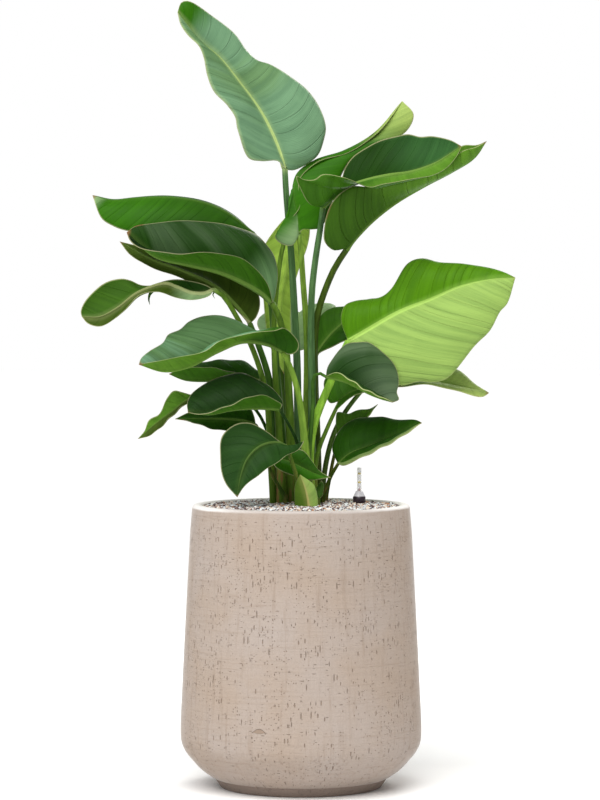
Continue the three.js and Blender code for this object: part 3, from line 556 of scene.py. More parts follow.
        "depth": [20, -25],
        "radius": [6.5, 3.5],
        "tints": (DUSK, DUSK, DUSK, DUSK),
        "gloss": 0.24,
        "rib_strength": 0.22,
        "stalk_tint": STALK,
        # Painted sheen: slate highlights on the upper face.
        "painted_sheen": 0.35,
        "painted_sheen_tint": PAINTED_SHEEN_SLATE,
    },
    "leaf_low_centre": {
        "stalk": [[286, 500, 40], [279, 486, 36], [272, 474, 26], [269, 463, 14]],
        "rib": [[274, 457, 2], [288, 460, -3], [303, 467, -7], [318, 474, -5], [331, 477, 0]],
        "left": [[285, 450], [296, 448], [304, 450], [320, 470]],
        "right": [[275, 466], [297, 477], [306, 480]],
        "depth": [2, -6],
        "radius": [5, 3],
        "tints": (FOREST, MOSS, LEAF, LEAF),
        "rib_strength": 0.2,
        "painted_sheen": 0.0,
    },
    "leaf_centre": {
        "stalk": [[282, 500, 64], [279, 430, 58], [275, 370, 54], [274, 320, 56], [277, 285, 60],
          [282, 250, 68], [289, 224, 76]],
        "rib": [[297, 207, 88], [296, 218, 106], [289, 255, 130], [282, 300, 138], [280, 340, 142],
          [284, 373, 140]],
        "left": [[286, 216], [264, 246], [262, 270], [266, 325], [270, 345]],
        "right": [[306, 212], [310, 228], [308, 243], [294, 285], [291, 310], [291, 340], [288, 362]],
        "depth": [10, 6],
        "radius": [6, 4],
        # Painted backlight: the whole blade glows as if lit from behind.
        "tints": (PAINTED_BACKLIGHT, PAINTED_BACKLIGHT, PAINTED_BACKLIGHT, PAINTED_BACKLIGHT),
        "rib_strength": 0.3,
        "painted_sheen": 0.0,
        "aged": 1.0,
        "stalk_tint": STALK,
        "flare": 1.0,
    },
    "leaf_back_centre": {
        "stalk": [[300, 500, 150], [300, 440, 156], [299, 390, 160]],
        "rib": [[298, 350, 170], [298, 336, 205], [298, 322, 250], [299, 312, 300], [300, 312, 350],
          [301, 322, 395]],
        "left": [[282, 347], [266, 336], [257, 322], [262, 313], [280, 309]],
        "right": [[312, 345], [328, 330], [338, 312], [334, 302], [318, 305]],
        "depth": [10, 10],
        "radius": [5, 4],
        "tints": (MIST, MIST, MIST, MIST),
    },
    "leaf_back_right": {
        "stalk": [[322, 500, 125], [326, 462, 124], [334, 432, 124], [345, 411, 124], [357, 395, 124]],
        "rib": [[370, 380, 128], [385, 366, 145], [400, 352, 175], [412, 342, 210], [420, 338, 250]],
        "left": [[364, 362], [370, 342], [388, 325], [408, 325]],
        "right": [[390, 379], [410, 370], [424, 356], [426, 344]],
        "depth": [-5, 15],
        "radius": [6, 4],
    },
    "leaf_back_left": {
        "stalk": [[292, 500, 154], [288, 430, 162], [280, 360, 170], [270, 300, 178]],
        "rib": [[260, 262, 186], [245, 250, 215], [228, 243, 250], [212, 243, 290], [200, 250, 325]],
        "left": [[262, 246], [250, 230], [230, 224], [208, 230]],
        "right": [[246, 270], [228, 268], [212, 262]],
        "depth": [-15, 25],
        "radius": [6.5, 4],
    },
    "sheath_pale": {
        "stalk": [[306, 516, -33]],
        "rib": [[309, 512, -34], [308, 500, -37], [305, 487, -40], [300, 474, -42]],
        "left": [[296, 508], [294, 497], [295, 484]],
        "right": [[317, 508], [318, 497], [314, 484]],
        "depth": [6, 8],
        "radius": [4, 3],
        "tints": (STALK, LIME, STALK, LIME),
        "stalk_tint": STALK,
        "gloss": 0.5,
        "painted_sheen": 0.0,
        "rib_strength": 0.6,
        "edge": 0.15,
        "wave": 0.0,
        "relief": 0.3,
        "rib_tint": (216, 196, 130),
    },
    "sheath_right": {
        "stalk": [[319, 503, 8]],
        "rib": [[319, 498, 8], [320, 493, 9], [321, 486, 12], [322, 480, 16]],
        "left": [[315, 495], [315, 490], [318, 484]],
        "right": [[323, 495], [324, 490], [324, 484]],
        "depth": [6, 6],
        "radius": [3.6, 2.6],
        "tints": (STALK_DARK, STALK_DARK, STALK_DARK, STALK_DARK),
        "stalk_tint": STALK_DARK,
        "gloss": 0.5,
        "painted_sheen": 0.0,
        "rib_strength": 0.0,
        "edge": 0.9,
        "wave": 0.0,
    },
}


# What a leaf has unless its own entry says otherwise. zones: (from, to, side, colour), where the
# colour grows between two shares of the blade's length, on the left (-1), right (1) or both (0);
# on some leaves a zone paints sheen; slants: how far the side veins lean, left and right; rolls:
# (width in mm, strength) of the pale rolled margins; pleat: painted shade in the creases of the
# deep veins, or pale veins below 0; aged: brown on the stalk's foot; flare: widening of the stalk
# at the gravel; wave, waves: height in mm and number of ripples; the sheen values paint gloss
# patches on the upper face.
LEAF_DEFAULTS = {
    "tints": [(46, 84, 20), (46, 84, 20), (66, 100, 24), (66, 100, 24)],
    "stalk_tint": (74, 102, 42),
    "rib_tint": (140, 172, 84),
    "rib_strength": 0.6,
    "slants": (0.6, 0.6),
    "zones": [],
    "edge": 0.45,
    # Colour and strength of the painted sheen: gloss patches on the upper face, faint on every leaf.
    "painted_sheen_tint": (96, 128, 88),
    "painted_sheen": 0.12,
    "rolls": [(0, 0), (0, 0)],
    "roll_tint": (150, 172, 104),
    "gloss": 0.36,
    "shine": 0.07,
    "wave": 1.6,
    "waves": 4.3,
    "relief": 0.6,
    "pleat": 0.4,
    "aged": 0.4,
    "flare": 0.0,
}


# ---------------------------------------------------------------- settings
class PlanterSettings(bpy.types.PropertyGroup):
    """Colours and fineness of the planter"""
    concrete: bpy.props.FloatVectorProperty(
        name="Concrete", description="Colour of the cast body", subtype="COLOR", size=3,
        min=0, max=1, default=(0.407, 0.337, 0.292))
    # Also the colour of the painted sheen towards the planter's silhouette.
    rim: bpy.props.FloatVectorProperty(
        name="Rim", description="Colour of the rubbed rim", subtype="COLOR", size=3,
        min=0, max=1, default=(0.80, 0.77, 0.75))
    # The foot's dark colour is painted shade under the body's overhang.
    foot: bpy.props.FloatVectorProperty(
        name="Foot", description="Colour of the recessed foot", subtype="COLOR", size=3,
        min=0, max=1, default=(0.27, 0.21, 0.175))
    sides: bpy.props.IntProperty(
        name="Sides", description="Faces round the planter", default=160, min=32, max=256)


class GravelSettings(bpy.types.PropertyGroup):
    """Stones of the dressing"""
    spacing: bpy.props.FloatProperty(
        name="Spacing", description="Distance between neighbouring stones", unit="LENGTH",
        default=0.0042, min=0.003, max=0.01)
    stone: bpy.props.FloatProperty(
        name="Stone", description="Mean radius of a stone", unit="LENGTH",
        default=0.0027, min=0.001, max=0.006)
    seed: bpy.props.IntProperty(name="Seed", description="Seed of the stones' draw", default=7)


class GaugeSettings(bpy.types.PropertyGroup):
    """Colours of the water gauge"""
    black: bpy.props.FloatVectorProperty(
        name="Collar", description="Colour of the collar", subtype="COLOR", size=3,
        min=0, max=1, default=(0.030, 0.018, 0.028))
    mark: bpy.props.FloatVectorProperty(
        name="Marks", description="Colour of the level marks", subtype="COLOR", size=3,
        min=0, max=1, default=(0.85, 0.68, 0.22))
    pointer: bpy.props.FloatVectorProperty(
        name="Pointer", description="Colour of the float's tip", subtype="COLOR", size=3,
        min=0, max=1, default=(0.55, 0.03, 0.015))


class LeafSettings(bpy.types.PropertyGroup):
    """Fineness and markings shared by all leaves"""
    stations: bpy.props.IntProperty(
        name="Stations", description="Sections along a blade", default=84, min=20, max=200)
    columns: bpy.props.IntProperty(
        name="Columns", description="Columns across half a blade", default=13, min=4, max=40)
    thickness: bpy.props.FloatProperty(
        name="Thickness", description="Thickness of the blade", unit="LENGTH",
        default=0.0009, min=0.0004, max=0.002)
    vein_spacing: bpy.props.FloatProperty(
        name="Vein spacing", description="Distance between side veins", unit="LENGTH",
        default=0.0026, min=0.001, max=0.02)
    pleat_spacing: bpy.props.FloatProperty(
        name="Pleat spacing", description="Mean distance between deep side veins", unit="LENGTH",
        default=0.018, min=0.005, max=0.08)
    edge: bpy.props.FloatVectorProperty(
        name="Edge", description="Colour of the thin dry edge", subtype="COLOR", size=3,
        min=0, max=1, default=(0.58, 0.56, 0.30))
    dry: bpy.props.FloatVectorProperty(
        name="Dry spots", description="Colour of dry tips and spots", subtype="COLOR", size=3,
        min=0, max=1, default=(0.23, 0.12, 0.05))


class StageSettings(bpy.types.PropertyGroup):
    """Camera and light"""
    distance: bpy.props.FloatProperty(
        name="Distance", description="Camera's distance from the planter's axis", unit="LENGTH",
        default=6.3128, min=1, max=20)
    height: bpy.props.FloatProperty(
        name="Height", description="Camera's height over the floor", unit="LENGTH",
        default=0.9399, min=0, max=5)
    tilt: bpy.props.FloatProperty(
        name="Tilt", description="How far the camera looks down", subtype="ANGLE",
        default=math.radians(1.966), min=-1, max=1)
    lens: bpy.props.FloatProperty(
        name="Lens", description="Focal length in millimetres", default=152.08, min=20, max=400)
    floor_half: bpy.props.FloatProperty(
        name="Floor half width", description="Half the floor's side", unit="LENGTH",
        default=30, min=3, max=100)
    floor: bpy.props.FloatVectorProperty(
        name="Floor", description="Colour of the floor", subtype="COLOR", size=3,
        min=0, max=1, default=(0.95, 0.95, 0.95))


SETTINGS = {
    "plant_planter": PlanterSettings,
    "plant_gravel": GravelSettings,
    "plant_gauge": GaugeSettings,
    "plant_leaf": LeafSettings,
    "plant_stage": StageSettings,
}


# ---------------------------------------------------------------- meshes
def linear(colour):
    """Linear RGB of an sRGB colour given from 0 to 255."""
    return [(c / 255 / 12.92) if c < 11 else ((c / 255 + 0.055) / 1.055) ** 2.4 for c in colour]


def make_object(name, points, faces, material, smooth=True):
    """New mesh object from points in metres and lists of face corners."""
    mesh = bpy.data.meshes.new(name)
    mesh.from_pydata([tuple(p) for p in points], [], [tuple(f) for f in faces])
    mesh.validate()
    mesh.polygons.foreach_set("use_smooth", [smooth] * len(mesh.polygons))
    mesh.materials.append(material)
    piece = bpy.data.objects.new(name, mesh)
    bpy.context.collection.objects.link(piece)
    return piece


def store(piece, name, values):
    """Keeps one number for each point, which the materials read by its name."""
    layer = piece.data.attributes.new(name, "FLOAT", "POINT")
    layer.data.foreach_set("value", np.asarray(values, dtype=np.float32))


def dress(piece, node, body):
    """Puts a finished piece in a node's place."""
    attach(piece, body)
    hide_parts(node)


def turned(name, profile, sides, material, at=(0.0, 0.0)):
    """Body of revolution about +Z from (radius, height) pairs in mm; ends on the axis or closes."""
    points, rows = [], []
    for radius, height in profile:
        if radius == 0:
            rows.append([len(points)] * sides)
            points.append((at[0] * MM, at[1] * MM, height * MM))
            continue
        rows.append(list(range(len(points), len(points) + sides)))
        for k in range(sides):
            angle = 2 * math.pi * k / sides
            x = at[0] + radius * math.cos(angle)
            y = at[1] + radius * math.sin(angle)
            points.append((x * MM, y * MM, height * MM))
    faces = []
    closed = profile[0][0] > 0
    for r in range(len(rows) - (0 if closed else 1)):
        low, high = rows[r], rows[(r + 1) % len(rows)]
        for k in range(sides):
            n = (k + 1) % sides
            ring = [low[k], low[n], high[n], high[k]]
            face = [p for i, p in enumerate(ring) if p != ring[i - 1]]
            if len(face) > 2:
                faces.append(face)
    return make_object(name, points, faces, material)


def rounded(profile, radius):
    """The same profile with every inner corner cut by a small arc of the given radius."""
    out = [profile[0]]
    for before, here, after in zip(profile, profile[1:], profile[2:]):
        b, h, a = (np.array(p, float) for p in (before, here, after))
        back, on = b - h, a - h
        reach = min(radius, 0.45 * np.linalg.norm(back), 0.45 * np.linalg.norm(on))
        start = h + back / np.linalg.norm(back) * reach
        end = h + on / np.linalg.norm(on) * reach
        for t in np.linspace(0, 1, CORNER_STEPS + 1):
            out.append(tuple((1 - t) ** 2 * start + 2 * t * (1 - t) * h + t ** 2 * end))
    out.append(profile[-1])
    return out


# ---------------------------------------------------------------- curves
def spline(points, shares):
    """Centripetal spline through the points, taken at the given shares of its length."""
    p = np.asarray(points, float)
    p = np.vstack([2 * p[0] - p[1], p, 2 * p[-1] - p[-2]])
    dense = []
    for p0, p1, p2, p3 in zip(p, p[1:], p[2:], p[3:]):
        t1 = max(np.linalg.norm(p1 - p0), 1e-6) ** 0.5
        t2 = t1 + max(np.linalg.norm(p2 - p1), 1e-6) ** 0.5
        t3 = t2 + max(np.linalg.norm(p3 - p2), 1e-6) ** 0.5
        for t in np.linspace(t1, t2, 24, endpoint=False):
            a1 = (t1 - t) / t1 * p0 + t / t1 * p1
            a2 = (t2 - t) / (t2 - t1) * p1 + (t - t1) / (t2 - t1) * p2
            a3 = (t3 - t) / (t3 - t2) * p2 + (t - t2) / (t3 - t2) * p3
            b1 = (t2 - t) / t2 * a1 + t / t2 * a2
            b2 = (t3 - t) / (t3 - t1) * a2 + (t - t1) / (t3 - t1) * a3
            dense.append((t2 - t) / (t2 - t1) * b1 + (t - t1) / (t2 - t1) * b2)
    dense.append(p[-2])
    dense = np.array(dense)
    way = np.r_[0, np.cumsum(np.linalg.norm(np.diff(dense, axis=0), axis=1))]
    at = np.asarray(shares) * way[-1]
    return np.stack([np.interp(at, way, dense[:, k]) for k in range(dense.shape[1])], 1)


def unit(vectors):
    """Rows scaled to length one."""
    length = np.linalg.norm(vectors, axis=-1, keepdims=True)
    return vectors / np.maximum(length, 1e-9)


def smoothed(rows, rounds):
    """Rows averaged with their neighbours; the ends stay."""
    rows = rows.copy()
    for _ in range(rounds):
        rows[1:-1] = 0.25 * rows[:-2] + 0.5 * rows[1:-1] + 0.25 * rows[2:]
    return rows


# ---------------------------------------------------------------- leaf
def place(across, down, depth):
    """A drawn point's place in mm: what lies deeper is drawn smaller."""
    scale = 1 + depth / VIEW_DISTANCE
    x = (across - AXIS_ACROSS) * DRAWING_UNIT
    z = (FLOOR_DOWN - down) * DRAWING_UNIT
    return np.stack([x * scale, depth, VIEW_HEIGHT + (z - VIEW_HEIGHT) * scale], -1)


def placed(points):
    """Drawn points with their depth, in mm."""
    return place(*np.array(points, float).T)


def margin_line(outline, rib, swing, shares, spine):
    """One margin: its outline is drawn, and its depth swings away from the midrib's."""
    line = spline([rib[0][:2], *outline, rib[-1][:2]], shares)
    depth = spine[:, 1] + swing * np.sin(np.pi * np.clip(shares, 0, 1)) ** 0.7
    return place(line[:, 0], line[:, 1], depth)


def blade_grid(leaf, settings):
    """Middle surface of the blade with what the rest of the leaf needs, in mm."""
    n = settings.stations
    t = np.linspace(0, 1, n + 1)[1:]
    shares = 0.55 * t ** 1.7 + 0.45 * (1 - (1 - t) ** 1.5)
    shares = np.clip(shares, 0, 0.997)
    spine = spline(placed(leaf["rib"]), shares)
    left = margin_line(leaf["left"], leaf["rib"], leaf["depth"][0], shares, spine)
    right = margin_line(leaf["right"], leaf["rib"], leaf["depth"][1], shares, spine)
    along = unit(np.gradient(spine, axis=0))
    rib_radius = leaf["radius"][1] * (1 - shares) ** 0.7
    columns = []
    spread = np.linspace(0, 1, settings.columns) ** 0.9
    for edge, sign in ((left, -1), (right, 1)):
        reach = edge - spine
        width = np.linalg.norm(reach, axis=1)
        lift = unit(np.cross(along, reach) if sign < 0 else np.cross(reach, along))
        lift = unit(smoothed(lift, 3))
        core = np.minimum(rib_radius / np.maximum(width, 1e-3), 0.85)
        half = []
        across_half = [core + (1 - core) * s for s in spread[::-1]]
        across_rib = [core * part for part in RIB_SHARES]
        for v in across_half + across_rib:
            crown = (BLADE_CUP * 4 * v * (1 - v) * width)[:, None]
            swell = np.sin(leaf["phase"] + 2 * np.pi * leaf["waves"] * shares)
            ripple = leaf["wave"] * (v ** 2 * swell * np.sin(np.pi * shares))[:, None]
            spot = spine + reach * v[:, None] + lift * (crown + ripple * (1 if sign > 0 else 0.8))
            half.append((spot, sign * v * width, core, width * (1 - v), v))
        if sign > 0:
            half = half[::-1]
            columns.append((spine, np.zeros(n), np.ones(n), np.full(n, 50.0), np.zeros(n)))
        columns.extend(half)
    points, across, core, margin, share = (np.stack(kept, 1) for kept in zip(*columns))
    return shares, points, across, core, margin, share, rib_radius, spine


def leaf_rings(leaf, settings):
    """Rings of points from the buried foot to the tip, and the numbers kept for each point."""
    shares, points, across, core, margin, v, rib_radius, spine = blade_grid(leaf, settings)
    n, m = points.shape[:2]
    way = np.r_[0, np.cumsum(np.linalg.norm(np.diff(spine, axis=0), axis=1))]
    du = np.gradient(points, axis=0)
    dv = np.gradient(points, axis=1)
    normal = unit(np.cross(dv, du))
    inside = np.clip(np.abs(v) / np.maximum(core, 1e-6), 0, 1)
    hump = np.cos(inside * np.pi / 2) ** 0.8 * (inside < 1)
    hump[:, m // 2] = 1
    base = np.exp(-shares / RIB_BASE_REACH)[:, None]
    half = settings.thickness / MM / 2 * np.clip(margin / THIN_MARGIN, THIN_SHARE, 1)
    top = half + hump * rib_radius[:, None] * (RIB_TOP_SHARE + (1 - RIB_TOP_SHARE) * base)
    low = half + hump * rib_radius[:, None]
    near_margin = np.clip(1 - margin / MARGIN_CURL_REACH, 0, 1)
    curl = MARGIN_CURL * near_margin ** 2 * np.sin(np.pi * shares)[:, None]
    middle = points - normal * curl[..., None]
    upper = middle + normal * top[..., None]
    lower = middle - normal * low[..., None]
    blade = np.concatenate([upper, lower[:, ::-1]], 1)
    keep = {
        "along": np.repeat(way[:, None], 2 * m, 1),
        "across": np.concatenate([across, across[:, ::-1]], 1),
        "margin": np.concatenate([margin, margin[:, ::-1]], 1),
        "under": np.concatenate([np.zeros((n, m)), np.ones((n, m))], 1),
        "rib": np.concatenate([hump, hump[:, ::-1]], 1),
        "share": np.repeat(shares[:, None], 2 * m, 1),
    }
    way_up = placed([*leaf["stalk"], leaf["rib"][0]])
    foot = way_up[0] - (0, 0, STALK_DEPTH)
    steps = STALK_STEPS
    level = np.linspace(0, 1, steps + 1)
    line = spline([foot, *way_up], level)
    tangent = unit(np.gradient(line, axis=0))
    count = 2 * m
    angle = np.pi * (1 - 2 * (np.arange(count) + 0.5) / count)
    channel = 1 - CHANNEL_DEPTH * np.exp(-((angle - np.pi / 2) / CHANNEL_WIDTH) ** 2)
    side = points[2, -1] - points[2, 0]
    stalk = []
    for i in range(steps, -1, -1):
        side = side - tangent[i] * side.dot(tangent[i])
        side /= np.linalg.norm(side)
        up = np.cross(side, tangent[i])
        radius = leaf["radius"][0] + (leaf["radius"][1] - leaf["radius"][0]) * level[i]
        rise = max(0, line[i][2] - GRAVEL_TOP)
        radius *= 1 + leaf["flare"] * math.exp(-rise / FLARE_REACH)
        groove = 1 + (channel - 1) * min(1, max(0, (level[i] - 0.25) * 3))
        ring = (line[i] + radius * np.cos(angle)[:, None] * side
                + radius * (np.sin(angle) * groove)[:, None] * up)
        stalk.insert(0, ring)
    length = np.linalg.norm(np.diff(line, axis=0), axis=1).sum()
    stalk_keep = {
        "along": np.repeat(((level - 1) * length)[:, None], count, 1),
        "across": np.repeat((leaf["radius"][1] * np.cos(angle))[None], steps + 1, 0),
        "margin": np.full((steps + 1, count), 60.0),
        "under": np.repeat((np.sin(angle) < 0).astype(float)[None], steps + 1, 0),
        "rib": np.full((steps + 1, count), 1.0),
        "share": np.repeat((level - 1)[:, None], count, 1),
    }
    rings = np.concatenate([np.array(stalk), blade], 0)
    numbers = {k: np.concatenate([stalk_keep[k], keep[k]], 0) for k in keep}
    return rings, numbers, foot, placed(leaf["rib"][-1:])[0]


def leaf_object(name, leaf, settings, material):
    """One closed leaf: stalk, midrib and blade."""
    rings, numbers, foot, tip = leaf_rings(leaf, settings)
    rows, size = rings.shape[:2]
    points = np.vstack([rings.reshape(-1, 3), foot, tip]) * MM
    faces = []
    for r in range(rows - 1):
        for k in range(size):
            n = (k + 1) % size
            faces.append((r * size + k, r * size + n, (r + 1) * size + n, (r + 1) * size + k))
    last = rows * size
    for k in range(size):
        n = (k + 1) % size
        faces.append((last, n, k))
        faces.append((last + 1, (rows - 1) * size + k, (rows - 1) * size + n))
    piece = make_object(name, points, faces, material)
    for key, values in numbers.items():
        flat = values.reshape(-1)
        scale = MM if key in ("along", "across", "margin") else 1
        store(piece, "leaf_" + key, np.r_[flat, flat[0], flat[-1]] * scale)
    return piece


def torn_strip(name, drawn, half_width, material):
    """Narrow strip that hangs from a torn blade and tapers to its end."""
    shares = np.linspace(0, 1, STRIP_STEPS + 1)
    sides = STRIP_SIDES
    line = spline(placed(drawn), shares)
    along = unit(np.gradient(line, axis=0))
    front = np.array([0.0, -1.0, 0.0])
    side = unit(np.cross(along, front))
    angle = np.linspace(0, 2 * np.pi, sides, endpoint=False)[:, None]
    rings = []
    for centre, across, share in zip(line, side, shares):
        taper = max(1 - share, 0.05) ** 0.7
        flat = half_width * np.cos(angle) * across
        rings.append(centre + taper * (flat + STRIP_HALF_THICKNESS * np.sin(angle) * front))
    last = len(rings) * sides - 1
    faces = [tuple(range(sides)), tuple(range(last, last - sides, -1))]
    for first in range(0, last - sides, sides):
        for k in range(sides):
            n = (k + 1) % sides
            faces.append((first + n, first + k, first + sides + k, first + sides + n))
    points = np.concatenate(rings) * MM
    piece = make_object(name, points, faces, material)
    plain = {"along": 0.05, "across": 0.01, "margin": 0.06, "under": 0, "rib": 0, "share": 0.6}
    for key, value in plain.items():
        store(piece, "leaf_" + key, np.full(len(points), value))
    return piece


# ---------------------------------------------------------------- materials
class Nodes:
    """Short way to add and link shader nodes in one tree."""

    def __init__(self, tree):
        self.tree = tree

    def add(self, kind, inputs=None, **values):
        """New node with its properties and inputs set."""
        node = self.tree.nodes.new(kind)
        for key, value in values.items():
            setattr(node, key, value)
        for key, value in (inputs or {}).items():
            self.set(node.inputs[key], value)
        return node

    def set(self, socket, value):
        """Links an output to the socket, or gives the socket a plain value."""
        if isinstance(value, bpy.types.NodeSocket):
            self.tree.links.new(value, socket)
        elif isinstance(value, (tuple, list)) and socket.type == "RGBA":
            socket.default_value = (*value[:3], 1)
        else:
            socket.default_value = value

    def math(self, operation, *values):
        """Result of a math node."""
        node = self.add("ShaderNodeMath", operation=operation)
        for socket, value in zip(node.inputs, values):
            self.set(socket, value)
        return node.outputs[0]

    def mix(self, share, first, second, blend="MIX"):
        """Two colours blended by a share."""
        node = self.add("ShaderNodeMix", data_type="RGBA", blend_type=blend)
        self.set(node.inputs[0], share)
        self.set(node.inputs[6], first)
        self.set(node.inputs[7], second)
        return node.outputs[2]

    def span(self, value, low, high, to_low=0.0, to_high=1.0):
        """Smooth step of a value from one range to another."""
        node = self.add("ShaderNodeMapRange", interpolation_type="SMOOTHSTEP")
        for key, v in zip(("Value", "From Min", "From Max", "To Min", "To Max"),
                          (value, low, high, to_low, to_high)):
            self.set(node.inputs[key], v)
        return node.outputs["Result"]

    def noise(self, vector, scale, detail=4.0, roughness=0.55):
        """Cloudy values between 0 and 1."""
        node = self.add("ShaderNodeTexNoise", {
            "Vector": vector, "Scale": scale, "Detail": detail, "Roughness": roughness})
        return node.outputs["Fac"]

    def number(self, name):
        """One of the numbers kept for each point."""
        return self.add("ShaderNodeAttribute", attribute_name=name).outputs["Fac"]

    def stretched(self, scale):
        """The object's coordinates, scaled along each axis."""
        place = self.add("ShaderNodeTexCoord").outputs["Object"]
        mapping = self.add("ShaderNodeMapping", {"Vector": place})
        mapping.inputs["Scale"].default_value = scale
        return mapping.outputs["Vector"]


def new_group(name, inputs, outputs):
    """Shader node group with plain number and colour sockets."""
    group = bpy.data.node_groups.new(name, "ShaderNodeTree")
    for label, kind, value in inputs:
        socket = group.interface.new_socket(name=label, in_out="INPUT", socket_type=kind)
        socket.default_value = value
    for label, kind in outputs:
        group.interface.new_socket(name=label, in_out="OUTPUT", socket_type=kind)
    tree = Nodes(group)
    return tree, tree.add("NodeGroupInput"), tree.add("NodeGroupOutput")


def vein_group():
    """Side veins that leave the midrib and bend towards the tip."""
    if "Side veins" in bpy.data.node_groups:
        return bpy.data.node_groups["Side veins"]
    t, given, out = new_group(
        "Side veins",
        [("Spacing", "NodeSocketFloat", 0.0026), ("Pleat Spacing", "NodeSocketFloat", 0.018),
         ("Left Slant", "NodeSocketFloat", 0.5), ("Right Slant", "NodeSocketFloat", 0.5),
         ("Seed", "NodeSocketFloat", 0.0)],
        [("Fine", "NodeSocketFloat"), ("Pleats", "NodeSocketFloat"), ("Folds", "NodeSocketFloat"),
         ("Patches", "NodeSocketFloat"), ("Blotches", "NodeSocketFloat")])
    along = t.number("leaf_along")
    signed = t.number("leaf_across")
    across = t.math("ABSOLUTE", signed)
    side = t.math("SIGN", signed)
    seed = t.math("ADD", given.outputs["Seed"], t.math("MULTIPLY", side, 3.7))
    on_right = t.math("GREATER_THAN", signed, 0.0)
    slant = t.math("ADD", given.outputs["Left Slant"], t.math("MULTIPLY", on_right, t.math(
        "SUBTRACT", given.outputs["Right Slant"], given.outputs["Left Slant"])))
    bend = t.math("MULTIPLY", t.math("POWER", across, 2.0), 3.0)
    place = t.math("SUBTRACT", along, t.math("ADD", t.math("MULTIPLY", across, slant), bend))

    def streak(stretch, scale, detail, roughness):
        vector = t.add("ShaderNodeCombineXYZ", {
            "X": place, "Y": t.math("MULTIPLY", across, stretch), "Z": seed}).outputs[0]
        return t.noise(vector, scale, detail, roughness)

    drift = t.math("MULTIPLY", streak(0.35, 40.0, 2.0, 0.5), 5.0)
    turn = t.math("DIVIDE", t.math("MULTIPLY", place, 2 * math.pi), given.outputs["Spacing"])
    fine = t.math("MULTIPLY_ADD", t.math("SINE", t.math("ADD", turn, drift)), 0.5, 0.5)
    sway = t.math("MULTIPLY", streak(0.25, 22.0, 1.0, 0.5), 1.6)
    count = t.math("ADD", t.math("DIVIDE", place, given.outputs["Pleat Spacing"]), sway)
    part = t.math("ABSOLUTE", t.math("SUBTRACT", t.math("FRACT", count), 0.5))
    chance = t.add("ShaderNodeTexWhiteNoise", noise_dimensions="2D", inputs={
        "Vector": t.add("ShaderNodeCombineXYZ", {
            "X": t.math("FLOOR", count), "Y": seed}).outputs[0]}).outputs["Value"]
    line = t.span(part, 0.065, 0.0)
    reach = t.span(across, 0.0, 0.02, 0.3, 1.0)
    pleats = t.math("MULTIPLY", t.math("MULTIPLY", line, reach), t.span(chance, 0.15, 0.7))
    spots = t.add("ShaderNodeCombineXYZ", {"X": along, "Y": signed, "Z": given.outputs["Seed"]})
    ripple = t.math("MULTIPLY", streak(0.1, 160.0, 2.0, 0.6), 0.09)
    patches = t.math("ADD", streak(0.22, 9.0, 2.0, 0.5), ripple)
    t.set(out.inputs["Fine"], fine)
    t.set(out.inputs["Pleats"], pleats)
    t.set(out.inputs["Folds"], streak(0.08, 60.0, 3.0, 0.6))
    t.set(out.inputs["Patches"], patches)
    t.set(out.inputs["Blotches"], t.noise(spots.outputs[0], 18.0, 4.0, 0.6))
    return t.tree


def base_material(name, **values):
    """New material with a Principled BSDF whose plain values are set on its sockets."""
    material = bpy.data.materials.new(name)
    material.use_nodes = True
    shader = material.node_tree.nodes["Principled BSDF"]
    for key, value in values.items():
        shader.inputs[key.replace("_", " ")].default_value = value
    return material, Nodes(material.node_tree), shader


def bump(t, shader, height, strength, distance):
    """Fine relief on a material; the distance is its height in metres."""
    node = t.add("ShaderNodeBump", {"Height": height, "Strength": strength, "Distance": distance})
    t.set(shader.inputs["Normal"], node.outputs["Normal"])


